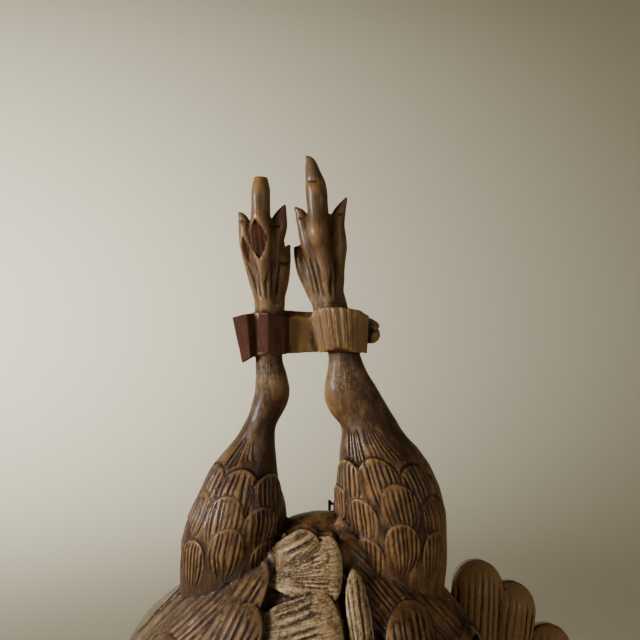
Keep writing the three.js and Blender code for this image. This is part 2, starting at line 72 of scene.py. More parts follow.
# Legs and palms: [x, y, z, half width, half depth]
LEFT_LEG = [
    (-42, -28, -4, 22, 20), (-41, -28, 20, 25.2, 23), (-39, -29, 40, 25.3, 23.5),
    (-36, -29, 54, 23.8, 22.5), (-34, -29, 69, 18.8, 18.5), (-30.2, -29, 82, 13.1, 13),
    (-27.7, -29, 90.8, 9.4, 10), (-25.4, -29, 98.5, 7.6, 8), (-23, -29, 105, 8, 7.6),
    (-20, -29.5, 112.6, 8.7, 7.6), (-20.1, -30, 120, 8.1, 7), (-21.4, -30, 130.4, 6.7, 6),
    (-21.2, -30, 142, 7, 5.6), (-21, -30, 158, 7.4, 5.6),
]
RIGHT_LEG = [
    (40, -28, -4, 22, 20), (40.3, -28, 20, 26.2, 23), (40.3, -29, 40, 27, 24),
    (39, -29, 55, 27.2, 23.5), (36, -29, 70, 24.4, 21.5), (31.2, -29, 85, 18.4, 17),
    (28.1, -29, 96.5, 14.1, 13), (25, -29, 104, 12.6, 11), (20, -29.5, 111.5, 13.2, 9.6),
    (18.2, -30, 117, 12.3, 8.5), (17, -30, 125.2, 9.5, 7.2), (15.8, -30, 132.7, 7.8, 6.4),
    (13, -30, 144, 7.4, 6), (9.5, -30, 158, 7.4, 6),
]
LEFT_PALM = [
    (-21.2, -30, 146, 6.8, 5.2), (-21.2, -30, 157, 7.5, 4.8), (-21.4, -30, 166, 8.2, 4.4),
    (-21.8, -30, 176, 9.6, 4.2), (-22.8, -30, 187, 9.2, 4), (-24, -31, 198, 7.6, 3.4),
]
RIGHT_PALM = [
    (11.6, -30, 146, 8.2, 5.2), (9.4, -30, 155, 8.6, 5), (6.8, -30, 166, 8.7, 4.4),
    (5.5, -30, 178, 9.6, 4.2), (5, -30, 190, 10, 4), (4, -31, 202, 8.6, 3.4),
]

# Toes from the ankle to the claw or the broken end
LEFT_TOES = {
    "middle": [(-22, -32, 155, 4.4, 4.6), (-23.8, -33, 176, 4.8, 5.2), (-25, -34, 192, 5.4, 5.8),
               (-25.3, -34, 204, 4.8, 4.8), (-25.2, -34, 214, 4.7, 4.6), (-25.2, -33.6, 220.6, 3.3, 3.4)],
    "outer": [(-25, -30, 158, 3.2, 3.6), (-28.8, -30, 174, 3.9, 4.2), (-32, -31, 187, 4.1, 4.4),
              (-33.2, -31, 196, 3.4, 3.8), (-34.4, -31.5, 200.5, 2.5, 2.6), (-36.5, -32, 203.6, 0.7, 0.8)],
    "inner": [(-19.6, -30, 158, 3, 3.6), (-18.6, -30.5, 176, 3.8, 4.2), (-18.2, -31, 187, 3.6, 4),
              (-16.5, -31, 196, 4.1, 4), (-15.9, -31, 200.5, 3.7, 3.6), (-14.2, -31.5, 205, 1.7, 2),
              (-13.2, -32, 207.3, 0.5, 0.6)],
    "hind": [(-18.2, -28, 156, 3.4, 3.6), (-16, -27.5, 170, 4.4, 4.4), (-14.6, -27, 179, 3.9, 4),
             (-13.2, -27, 184.5, 2.5, 2.8), (-11.2, -27, 187.9, 0.6, 0.7)],
}
RIGHT_TOES = {
    "middle": [(9, -32, 155, 4.6, 4.6), (7.2, -33, 172, 4.6, 5), (4.8, -34, 184, 4.6, 5.2),
               (3.1, -35, 192, 5.5, 6), (2.9, -34.5, 203, 5.1, 5), (2.1, -34, 214, 5.4, 5),
               (0.6, -33.5, 222, 4.1, 4), (-0.9, -33, 228.4, 2.5, 2.6), (-3.2, -32.6, 231.6, 0.6, 0.7)],
    "inner": [(5.4, -30, 156, 3.2, 3.6), (1.9, -30.5, 174, 3.6, 4.2), (-1.8, -31, 187, 3.8, 4.4),
              (-3.9, -31, 197, 3.5, 3.8), (-5.6, -31.5, 202.4, 2.8, 2.6), (-8.6, -32, 206.1, 0.6, 0.7)],
    "outer": [(12, -30, 156, 3.6, 3.8), (12.3, -30.5, 174, 4, 4.2), (12.9, -31, 186.5, 4.6, 4.6),
              (12.5, -31, 198, 3.9, 4), (13.9, -31.5, 204, 3, 2.9), (17.2, -32, 210.8, 0.5, 0.6)],
    "hind": [(4.2, -28, 156, 3, 3.6), (-0.8, -27.5, 167, 3.6, 4), (-4.2, -27, 176, 3.8, 4),
             (-5.8, -27, 183, 3.3, 3.4), (-7, -27, 187.2, 2.2, 2.4)],
}

# Tips of the thigh feathers: (angle round the leg in degrees, height), 90 faces the viewer
LEFT_SCALES = [
    (152, 80), (97, 79), (46, 76), (148, 67.5), (105, 67.5), (58, 62), (134, 46), (94, 53), (48, 46),
    (165, 52),
]
RIGHT_SCALES = [
    (140, 83), (96, 85), (48, 81), (124, 66), (80, 73.5), (40, 66), (158, 70), (84, 55.5), (46, 50),
    (120, 48), (152, 52),
]
BACK_SCALES = [(-80, 74), (198, 60)]
SCALE_LENGTH = 25.0
SCALE_WIDTH = 16.5
SCALE_LIFT = 1.3
SCALE_CUTS = 7
SCALE_CUT_START = -0.15
SCALE_KNIFE = 0.75
SCALE_EDGE_CUT = 0.5
SMALL_CROWN = 0.3
SMALL_SINK = 2.0

# Long cuts above the thigh feathers: angles and height at the foot, the same at the top, count, depth
LEFT_LEG_CUTS = [(((138, 108), 76), ((129, 116), 95), 4, 1.0), (((104, 74), 80), ((110, 92), 92), 3, 0.5)]
RIGHT_LEG_CUTS = [(((140, 102), 78), ((143, 116), 98), 5, 1.0), (((98, 50), 80), ((108, 78), 100), 6, 0.55)]

# Cuts across the toes where the claws begin: toe, height, from angle, to angle
LEFT_CLAW_LINES = [("outer", 198.6, 150, 60), ("inner", 196.2, 140, 70), ("hind", 178.2, 120, 20)]
RIGHT_CLAW_LINES = [("middle", 217.6, 150, 60), ("inner", 200.2, 130, 60), ("outer", 202.2, 120, 50)]

# Long cuts down the palms and the folds at the root of the right foot: angles and heights as on the legs
LEFT_PALM_CUTS = [(((135, 55), 158), ((150, 40), 182), 5, 0.8)]
RIGHT_PALM_CUTS = [(((140, 60), 158), ((150, 50), 184), 5, 0.8)]
FOOT_FOLDS = [(156.0, 50, 110), (158.4, 45, 95)]

# Binding: top and bottom edges as (x, height), shift of the bottom edge by x, outline from above as (x, y),
# broken face, fluted wrap with the (width, depth) of each flute, and the twig behind it
BINDING_BACK = -20.0
BINDING_TOPS = [
    (-41, 151), (-28, 153.9), (-14, 152.7), (-11, 151.3), (-0.4, 151.2), (1.2, 155), (6, 156.4),
    (11, 156.3), (18, 155.8), (24, 154.6), (28.2, 152),
]
BINDING_BOTTOMS = [
    (-35.2, 128.2), (-28.7, 132), (-26.3, 134.2), (-15, 133.7), (-12.6, 133.1), (-4.3, 135.3), (0, 135),
    (4.5, 133.8), (7.4, 135), (12.2, 137.1), (15.1, 137.1), (20.4, 135), (23.3, 134), (27.2, 133.7),
]
BINDING_SLANT = [(-40, 5.2), (-27.5, 0), (-11.2, 0), (-0.4, 4.4), (28.2, -1)]
BROKEN_WRAP = [
    (-40, -20), (-39.5, -33.5), (-32, -37.5), (-28.3, -34.8), (-21.5, -39.2), (-12.4, -36),
    (-11.2, -32.6), (-1, -32.2),
]
BROKEN_FACE = (-26.5, 140.6)
BROKEN_HALF = (15.4, 12.4)
WRAP_LEFT = -0.4
WRAP_FRONT = -42.0
WRAP_SIDE = -34.0
WRAP_BOW_ENDS = 0.06
WRAP_BOW_POWER = 0.7
FLUTES = [
    (2.2, 0.5), (3.9, 0.9), (2.2, 0.7), (2.7, 0.9), (5.1, 1.1), (2.7, 0.7), (2.9, 0.8), (3.2, 0.6),
    (3.7, 0.4),
]
FLUTE_STEPS = 8
TWIG = [
    (-14, -27, 150.8, 4.2, 4.2), (6, -27, 149.6, 4, 4.2), (27, -27, 146.8, 4.8, 4.4),
    (31.6, -27, 143.6, 3.8, 3.8),
]
TWIG_KNOB = ((29.6, -27, 142.6), (4.8, 5, 4.5))

# Body: outline at the wall as (x, z), the middle it bulges from, and depth by height
BODY_MIDDLE = (0.0, -75.0)
BODY_OUTLINE = [
    (0, 43), (-20, 37), (-44, 27), (-69, 9), (-91, -10), (-104, -38), (-107, -75), (-101, -112),
    (-86, -147), (-62, -177), (-38, -203), (0, -226), (38, -203), (62, -177), (86, -147), (100, -112),
    (104, -75), (98, -38), (83, -12), (68, 9), (48, 28), (24, 39),
]
BODY_HEIGHTS = [-226, -180, -140, -100, -60, -20, 10, 35, 60]
BODY_DEPTHS = [46, 70, 90, 97, 93, 82, 68, 56, 46]
BODY_EDGE = 3.4
LEAN_SLOPE = 0.27
LEAN_FROM = -20.0
LEAN_FULL = 30.0
DOME = ((6, -34, 33), (33, 18, 22.5))

# Feathers laid on the body: root, tip, width, crown, lift, knife cuts, dust, bluntness, size of the cuts
VENT_FEATHERS = [
    ((-23, 33.5), (4.5, 47.5), 17, 3.4, 5.5, 4, 0.8, 1.1, 1.2),
    ((-30, 34), (15, 36), 28, 3, 6, 0, 1.0, 0.42, 0.7),
    ((-30, 6), (14.5, 13), 30, 3.4, 7, 0, 0.9, 0.5, 0.9),
    ((27, -25), (19, 36.5), 13, 3.6, 6.5, 4, 1.0, 3.2, 0.7),
    ((32, -40), (27.5, 8), 13, 3, 7, 3, 0.8, 3.0, 0.8),
    ((-16, -50), (4, -10), 28, 3.5, 6, 7, 0.7, 1.1, 1.0),
]
FLANK_FEATHERS = [
    ((-96.4, -27.9), (-17.4, 41.1), 27, 3.5, 4.5, 12, 0.3, 3.0, 0.8),
    ((-72, -30), (-20.5, 37), 20, 3, 7, 6, 0.25, 2.6, 1.0),
    ((-60, -40), (-27, 23), 23, 4, 7, 7, 0.3, 1.0, 1.0),
    ((-92, -50), (-60, 3), 22, 3, 5, 6, 0.2, 1.0, 1.0),
    ((88, -30), (13, 49), 32, 2.5, 3, 14, 0.0, 6.0, 0.6),
    ((52, -48), (43, 21), 24, 3, 5, 8, 0.0, 1.2, 0.8),
    ((90, -58), (69, 0), 24, 3, 4.5, 8, 0.0, 1.0, 1.0),
]
BODY_SINK = 6.0
BODY_EDGE_FROM = 0.05
VENT_EDGE_CUT = 1.3

# Cuts on the broad feathers under the tail: line of starts, line of ends, count, width, depth
VENT_REACH = 16.0
VENT_CUTS = [
    (((-14, 34), (-14, 28)), ((5, 53), (12, 27)), 13, 0.7, 0.6),
    (((-17, 19), (-18, -12)), ((2, 26.5), (15, -1)), 10, 0.9, 0.8),
]
TAIL_EDGE = [(11.5, 53), (18, 46.4), (23.2, 37.4), (27.4, 26.7), (31, 15.7), (33.6, 6.5), (35, -2)]
TAIL_EDGE_HALF = (4.6, 4.0)
TAIL_EDGE_SINK = 1.5

# Breast: feathers in each row from the top, how the rows are laid, and the width, crown and lift of a feather
BREAST_COUNTS = (4, 5, 4, 3)
BREAST_TOP = -30.0
BREAST_ROW_STEP = 36.0
BREAST_SPACING = 37.0
BREAST_CLOSING = 0.05
BREAST_LENGTH = 52.0
BREAST_GATHER = 0.9
BREAST_DUST = 0.3
BREAST_FEATHER = (39, 3, 4.5)

# Feathers on the sides of the body: tips (y, z), the length they share, and their width, crown and lift
SIDE_TIPS = [(-70, -22), (-44, -34), (-74, -66), (-48, -78), (-74, -110), (-48, -122), (-52, -150)]
SIDE_LENGTH = 54.0
SIDE_FEATHER = (34, 3, 4.5)
SIDE_SINK = 8.0
SIDE_DUST = 0.1
SIDE_FROM = 40.0

# Wings: root (x, z), tip (x, z) and stand-off of each long feather on the right
WING_TIPS = [
    ((82, -66), (88.8, 22.4), 24),
    ((92, -78), (107.4, 11), 21),
    ((100, -92), (129.4, -12.4), 18),
    ((103, -106), (145, -40), 16.5),
    ((102, -118), (153, -72), 15.5),
    ((97, -128), (154, -105), 14.5),
    ((90, -137), (147, -136), 14),
]
LEFT_WING_DROP = 42.0
LEFT_WING_CLOSE = 0.97
WING_WIDTH = 28.0
WING_CROWN = 6.0
WING_RIM = 8.0
WING_UNDERCUT = 0.16
WING_KNIFE = 0.85
COVER_LENGTH = 0.5
COVER_STEP = 8.0
SHOULDER = [
    (86, -16, -58, 14, 12), (92, -18, -88, 20, 17), (88, -19, -122, 21, 19), (70, -20, -152, 16, 18),
]

# Neck, head, beak and eye
NECK = [
    (0, -30, -150, 34, 38), (0, -32, -170, 38, 37), (1, -33, -190, 37, 35), (2, -32, -207, 33, 33),
    (5, -30, -224, 26, 30), (10, -27, -243, 20.5, 25), (16, -26, -261, 21, 24), (17, -24, -275, 18, 20),
    (15, -22, -286, 9, 10),
]
BEAK = [
    (8, -26, -270, 10, 11), (-5, -25, -279, 7.4, 9), (-17, -23, -287, 4, 6), (-25, -20, -295, 0.8, 1),
]
NECK_GIRTH = 30.0
NECK_ROWS = [(-180, 10), (-194, 10), (-208, 9), (-222, 8), (-235, 7)]
NECK_FROM = -60.0
NECK_SPAN = 300.0
NECK_WIDTH = 17.0
NECK_LENGTH = 26.0
NECK_LIFT = 1.1
NECK_KNIFE = 0.8
EYE = (8, -46, -264)
EYE_RADIUS = 4.0

# Hanging wire
LOOP_X = 11.0
LOOP_Y = -5.0
LOOP_TOP = 56.0
LOOP_BOTTOM = 34.0
LOOP_RADIUS = 0.75
LOOP_HALF_GAP = 1.9
LOOP_SIDES = 20
LOOP_STEPS = 14

# Studio, in metres: radius of the round backdrop, radius of its sweep into the floor, height above the sweep
ROOM = 2.6
SWEEP = 1.6
ROOM_HEIGHT = 2.4
FLOOR_GAP = 0.02
AIR_COLOUR = (0.9, 0.87, 0.78, 1.0)
AIR_STRENGTH = 0.08

# Square lights: place, target, side in metres, watts, spread in degrees
SOFTBOXES = {
    "key": ((-1.15, -0.55, 0.35), (0, -0.04, 0.05), 0.35, 23.5, 180),
    "fill": ((1.3, -1.6, 0.4), (0, -0.04, 0.05), 0.8, 7.5, 180),
    "wash": ((-1.2, 0.6, 1.0), (-0.9, 2.4, 0.0), 1.0, 42.0, 112),
}

# Camera: it looks straight at the wall. Place in millimetres, focal length and picture width in pixels
CAMERA_SENSOR = 36.0
CAMERA_CLIP = 0.01
CAMERA_PLACE = (4.0, -373.0, 150.0)
CAMERA_PIXELS = 686.3
FRAME_PIXELS = 640.0

# Breaks in the feet: place (x, z), half sizes, turn, depth of the plane, whether wood is gone
FOOT_BREAKS = [
    ((-26.6, 189.7), (4.9, 9.6), 7, -37.0, True),
    ((-32.6, 184.5), (2.0, 7.0), 14, -34.4, True),
    ((-6.6, 184.0), (2.4, 4.6), 14, -30.4, False),
]
TOE_GIRTH = 4.5
PALM_GIRTH = 8.0

# Cuts on the legs and feet: half widths, depths as shares of the groove depth, reach of the palms' cuts
FOLD_WIDTH = 0.7
FOLD_CUT = 0.6
CLAW_CUT = 0.9
PALM_CUT_WIDTH = 0.8
PALM_REACH = 5.0
LEG_CUT_WIDTH = 1.1

# Knife cuts: half width of each, depth of the one round a feather's tip, reach of its search, half width of
# the lane of a cut on its own, and depth of the marks that the tool left between the cuts
CUT_WIDTH = 0.95
EDGE_CUT = 0.7
EDGE_REACH = 5.0
LONE_CUT = 2.0
TOOL_MARK = 0.14

# Below this height, out of the picture, the carving gets this share of the faces
PLAINER_BELOW = -28.0
PLAINER_SHARE = 0.36

# Where dust, warm worn wood, the golden wood that is painted light on the wings, and bare wood begin and end,
# and how strong they are
ANKLES = [(123.0, 11.0), (160.0, 9.0)]
ANKLE_FRONT = -26.0
ANKLE_DUST = 0.5
BACK_DEPTH = 0.3
BACK_DUST = 0.45
WING_GOLD_AND_PAINTED_LIGHT = 1.5
FEET_FROM = 157.0
FEET_GOLD = 0.35
STRAP_LEVELS = (134.0, 152.0)
STRAP_FRONT = -31.0
STRAP_GOLD = 0.9
WRAP_MARGIN = 0.6
SLANT_FROM = 155.0
SLANT_HEIGHT = 20.0
FLUTE_FORCE = 0.8
KNOB_REACH = 1.2
KNOB_STAIN = 0.75
CLAW_LENGTH = 40.0
BREAK_MARGIN = 0.3

# What counts as being on a feather, in its own size and in millimetres, and how its grain is spread
FEATHER_RIM = 1.08
FEATHER_GAP = 1.7
FRONT_FACING = 0.3
BARB_PATCH = 40

FORMS = []
FEATHERS = []
FANS = []
BREAKS = []


class CarvingSizes(bpy.types.PropertyGroup):
    """Sizes that a carver would change"""
    voxel: FloatProperty(name="Cut size", description="Finest form that the carving keeps", default=0.0006,
                         min=0.0004, max=0.004, unit="LENGTH")
    groove_depth: FloatProperty(name="Groove depth", description="Depth of the knife cuts on the feathers",
                                default=0.0011, min=0.0, max=0.002, unit="LENGTH")
    faces: IntProperty(name="Faces", description="Triangles kept in the finished carving", default=190000)


class CarvingFinish(bpy.types.PropertyGroup):
    """Colours of the wood and the wire"""
    worn: FloatVectorProperty(name="Worn wood", description="Wood where hands have rubbed the stain off",
                              default=(0.235, 0.12, 0.038), subtype="COLOR", size=3)
    stain: FloatVectorProperty(name="Stain", description="Brown stain over the whole carving",
                               default=(0.051, 0.02, 0.0055), subtype="COLOR", size=3)
    # Stain and wax gathered in the cuts, also used as painted shade in the cuts and hollows
    recess_stain_and_shade: FloatVectorProperty(name="Recess", description="Stain and wax gathered in the cuts",
                                default=(0.0075, 0.0034, 0.0014), subtype="COLOR", size=3)
    dust: FloatVectorProperty(name="Dust", description="Dust and pale wood under the tail",
                              default=(0.31, 0.2, 0.095), subtype="COLOR", size=3)
    # Pale worn crests under the tail, and painted glints of light on them
    crest_and_painted_glint: FloatVectorProperty(name="Ridges", description="Pale crests between the cuts under the tail",
                               default=(0.6, 0.44, 0.25), subtype="COLOR", size=3)
    broken: FloatVectorProperty(name="Broken wood", description="Bare reddish wood at the breaks",
                                default=(0.042, 0.0115, 0.0036), subtype="COLOR", size=3)
    splinter: FloatVectorProperty(name="Splinters", description="Paler grain in the broken wood",
                                  default=(0.1, 0.031, 0.010), subtype="COLOR", size=3)
    # Warm worn wood of the wrap and the feet, and on the wings also painted light that brightens feathers
    # lying in shade
    golden_and_painted_light: FloatVectorProperty(name="Golden wood",
                                description="Warm worn wood of the wrap, the feet and the wings",
                                default=(0.25, 0.13, 0.04), subtype="COLOR", size=3)
    horn: FloatVectorProperty(name="Claws", description="Greyer brown of the carved claws",
                              default=(0.085, 0.05, 0.032), subtype="COLOR", size=3)
    wire: FloatVectorProperty(name="Wire", description="Blackened hanging wire", default=(0.03, 0.028, 0.026),
                              subtype="COLOR", size=3)
    backdrop: FloatVectorProperty(name="Backdrop", description="Floor and backdrop",
                                  default=(0.455, 0.418, 0.305), subtype="COLOR", size=3)


def read_line(places, x):
    """Height of a line through the given places (x, height)"""
    return np.interp(x, *np.array(places).T)


def deselect_all():
    if bpy.context.mode != "OBJECT":
        bpy.ops.object.mode_set(mode="OBJECT")
    bpy.ops.object.select_all(action="DESELECT")


def choose(obj):
    deselect_all()
    obj.select_set(True)
    bpy.context.view_layer.objects.active = obj


def read_points(mesh):
    points = np.empty(len(mesh.vertices) * 3)
    mesh.vertices.foreach_get("co", points)
    return points.reshape(-1, 3)


def write_points(mesh, points):
    mesh.vertices.foreach_set("co", np.ascontiguousarray(points, dtype=np.float32).ravel())
    mesh.update()


def curve_points(points, t, closed=False):
    """Points along a smooth curve through the given ones, at t from 0 to 1"""
    points = np.asarray(points, dtype=float)
    count = len(points)
    place = np.asarray(t, dtype=float) * (count if closed else count - 1)
    start = np.floor(place).astype(int)
    if not closed:
        start = np.clip(start, 0, count - 2)
    along = (place - start)[..., None]

    def at(index):
        if closed:
            return points[index % count]
        inside = points[np.clip(index, 0, count - 1)]
        before = (index < 0)[..., None]
        after = (index > count - 1)[..., None]
        inside = np.where(before, 2 * points[0] - points[1], inside)
        return np.where(after, 2 * points[-1] - points[-2], inside)

    p0, p1, p2, p3 = at(start - 1), at(start), at(start + 1), at(start + 2)
    t0 = 0.5 * (p2 - p0)
    t1 = 0.5 * (p3 - p1)
    cubic = (2 * p1 - 2 * p2 + t0 + t1) * along + (-3 * p1 + 3 * p2 - 2 * t0 - t1)
    return (cubic * along + t0) * along + p1


def laid_form(name, spokes, rings, at):
    """A ball primitive whose rings and spokes are laid out anew by at(ring, angle)"""
    deselect_all()
    bpy.ops.mesh.primitive_uv_sphere_add(segments=spokes, ring_count=rings, radius=1.0)
    obj = bpy.context.active_object
    obj.name = name
    points = read_points(obj.data)
    ring = np.rint(np.arccos(np.clip(points[:, 2], -1, 1)) / math.pi * rings)
    angle = np.arctan2(points[:, 1], points[:, 0])
    write_points(obj.data, at(ring, angle) * MM)
    turn_faces_out(obj)
    FORMS.append(obj)
    return obj


def turn_faces_out(obj):
    choose(obj)
    bpy.ops.object.mode_set(mode="EDIT")
    bpy.ops.mesh.select_all(action="SELECT")
    bpy.ops.mesh.normals_make_consistent(inside=False)
    bpy.ops.object.mode_set(mode="OBJECT")


def limb(name, sections, spokes=28, rings=44):
    """A round limb through sections of (x, y, z, half width, half depth)"""
    sections = np.asarray(sections, dtype=float)
    towards = np.array([0.0, -1.0, 0.0])

    def at(ring, angle):
        t = np.clip((ring - 1) / (rings - 2), 0, 1)
        step = 1e-4
        line = curve_points(sections[:, :3], t)
        ahead = curve_points(sections[:, :3], np.clip(t + step, 0, 1))
        behind = curve_points(sections[:, :3], np.clip(t - step, 0, 1))
        half = curve_points(sections[:, 3:], t)
        across = np.cross(towards, ahead - behind)
        across /= np.linalg.norm(across, axis=1, keepdims=True)
        opened = np.where((ring == 0) | (ring == rings), 0.0, 1.0)
        width = (opened * half[:, 0] * np.cos(angle))[:, None]
        depth = (opened * half[:, 1] * np.sin(angle))[:, None]
        return line + across * width + towards * depth

    return laid_form(name, spokes, rings, at)


def knob(name, place, half_sizes):
    deselect_all()
    bpy.ops.mesh.primitive_ico_sphere_add(subdivisions=4, radius=1.0)
    obj = bpy.context.active_object
    obj.name = name
    points = read_points(obj.data) * np.array(half_sizes) + np.array(place)
    write_points(obj.data, points * MM)
    FORMS.append(obj)
    return obj


def torso():
    """The body as a bulge inside its outline on the wall"""
    rings = 60
    middle = np.array(BODY_MIDDLE)

    def depth_at(height):
        spread = [np.interp(height + step, BODY_HEIGHTS, BODY_DEPTHS) for step in (-12, -6, 0, 6, 12)]
        return np.mean(spread, axis=0)

    def at(ring, angle):
        rim = curve_points(BODY_OUTLINE, (angle / (2 * math.pi)) % 1.0, closed=True)
        out = np.sin(math.pi / 2 * np.clip(ring / (rings - 2), 0, 1))
        out = np.where(ring == rings, 0.0, out)
        plan = middle + (rim - middle) * out[:, None]
        behind = ring > rings - 2
        bulge = np.clip(1 - out ** BODY_EDGE, 0, 1) ** (1 / BODY_EDGE)
        depth = np.where(behind, 0.0, depth_at(plan[:, 1]) * bulge)
        lean = LEAN_SLOPE * np.clip((plan[:, 1] - LEAN_FROM) / (LEAN_FULL - LEAN_FROM), 0, 1)
        y = np.where(behind, BACK, BACK / 2 - depth)
        return np.stack([plan[:, 0], y, plan[:, 1] + lean * depth], axis=1)

    return laid_form("torso", 180, rings, at)


class Skin:
    """A surface that feathers lie on. A place on it is two of a point's coordinates, and PLAN says which"""
    PLAN = (0, 2)

    def plan(self, points):
        return points[:, self.PLAN]

    def candidates(self, points, low, high):
        plan = self.plan(points)
        return np.flatnonzero(np.all((plan > low) & (plan < high), axis=1))


class FrontSkin(Skin):
    """The front of some forms, read off by looking at them from the viewer's side"""
    STEP = 1.5
    LOW = (-125.0, -240.0)
    SPAN = (250, 310)
    VIEWER = -400
    FALLBACK = -29.0

    def __init__(self, forms):
        trees = []
        for form in forms:
            points = [tuple(p) for p in read_points(form.data) / MM]
            faces = [tuple(f.vertices) for f in form.data.polygons]
            trees.append(BVHTree.FromPolygons(points, faces))
        self.low = np.array(self.LOW)
        self.shape = tuple(int(span / self.STEP) + 2 for span in self.SPAN)
        self.front = np.full(self.shape, self.FALLBACK)
        inward = Vector((0, 1, 0))
        for i in range(self.shape[0]):
            for j in range(self.shape[1]):
                x, z = self.low + np.array([i, j]) * self.STEP
                hits = [tree.ray_cast(Vector((x, self.VIEWER, z)), inward)[0] for tree in trees]
                found = [hit.y for hit in hits if hit is not None]
                if found:
                    self.front[i, j] = min(found)

    def y(self, plan):
        place = np.clip((plan - self.low) / self.STEP, 0, np.array(self.shape) - 1.001)
        low = np.floor(place).astype(int)
        part = place - low
        i, j = low[:, 0], low[:, 1]
        u, v = part[:, 0], part[:, 1]
        near = self.front[i, j] * (1 - u) + self.front[i + 1, j] * u
        far = self.front[i, j + 1] * (1 - u) + self.front[i + 1, j + 1] * u
        return near * (1 - v) + far * v

    def place(self, plan, height):
        y = np.minimum(BACK, self.y(plan) - height)
        return np.stack([plan[:, 0], y, plan[:, 1]], axis=1)

    def read(self, points):
        plan = self.plan(points)
        return plan, self.y(plan) - points[:, 1]


class SideSkin(Skin):
    """One side of the body, read off from its outline: first the depth, then the height"""
    PLAN = (1, 2)
    RIM_POINTS = 400
    DEEPEST = 0.995

    def __init__(self, side):
        self.side = side
        rim = curve_points(BODY_OUTLINE, np.linspace(0, 1, self.RIM_POINTS), closed=True)
        rim = rim[rim[:, 0] * side > 1]
        order = np.argsort(rim[:, 1])
        self.heights = rim[order, 1]
        self.reach = np.abs(rim[order, 0])

    def x(self, plan):
        rim = np.interp(plan[:, 1], self.heights, self.reach)
        full = np.interp(plan[:, 1], BODY_HEIGHTS, BODY_DEPTHS)
        depth = np.clip((BACK / 2 - plan[:, 0]) / full, 0, self.DEEPEST)
        return rim * (1 - depth ** BODY_EDGE) ** (1 / BODY_EDGE)

    def place(self, plan, height):
        return np.stack([self.side * (self.x(plan) + height), plan[:, 0], plan[:, 1]], axis=1)

    def read(self, points):
        plan = self.plan(points)
        return plan, self.side * points[:, 0] - self.x(plan)

    def candidates(self, points, low, high):
        index = super().candidates(points, low, high)
        return index[points[index, 0] * self.side > SIDE_FROM]


class LegSkin:
    """The skin of a leg or a toe: first the distance round it, then the height"""
    REACH = 5.0

    def __init__(self, sections, girth):
        self.sections = np.asarray(sections, dtype=float)
        self.girth = girth

    def section(self, height):
        table = self.sections
        return [np.interp(height, table[:, 2], table[:, k]) for k in (0, 1, 3, 4)]

    def place(self, plan, height):
        x, y, width, depth = self.section(plan[:, 1])
        angle = plan[:, 0] / self.girth
        across = x + (width + height) * np.cos(angle)
        return np.stack([across, y - (depth + height) * np.sin(angle), plan[:, 1]], axis=1)

    def read(self, points):
        x, y, width, depth = self.section(points[:, 2])
        across = (points[:, 0] - x) / width
        towards = (y - points[:, 1]) / depth
        height = (np.hypot(across, towards) - 1) * (width + depth) / 2
        angle = (np.arctan2(towards, across) + math.pi / 2) % (2 * math.pi) - math.pi / 2
        return np.stack([angle * self.girth, points[:, 2]], axis=1), height

    def candidates(self, points, low, high):
        x, y, width, depth = self.section(points[:, 2])
        near = np.hypot((points[:, 0] - x) / (width + self.REACH),
                        (points[:, 1] - y) / (depth + self.REACH)) < 1
        return np.flatnonzero(near & (points[:, 2] > low[1]) & (points[:, 2] < high[1]))


class WingSkin(Skin):
    """The skin of one long wing feather, thinner towards its tip"""

    def __init__(self, front, root, tip):
        self.front = front
        self.root = np.asarray(root, dtype=float)
        self.along = np.asarray(tip, dtype=float) - self.root

    def stand(self, plan):
        far = np.clip((plan - self.root) @ self.along / (self.along @ self.along), 0, 1)
        return -self.front + (self.front - WING_RIM) * far

    def place(self, plan, height):
        y = np.where(height < 0, BACK, self.stand(plan) - height)
        return np.stack([plan[:, 0], y, plan[:, 1]], axis=1)

    def read(self, points):
        plan = self.plan(points)
        return plan, self.stand(plan) - points[:, 1]


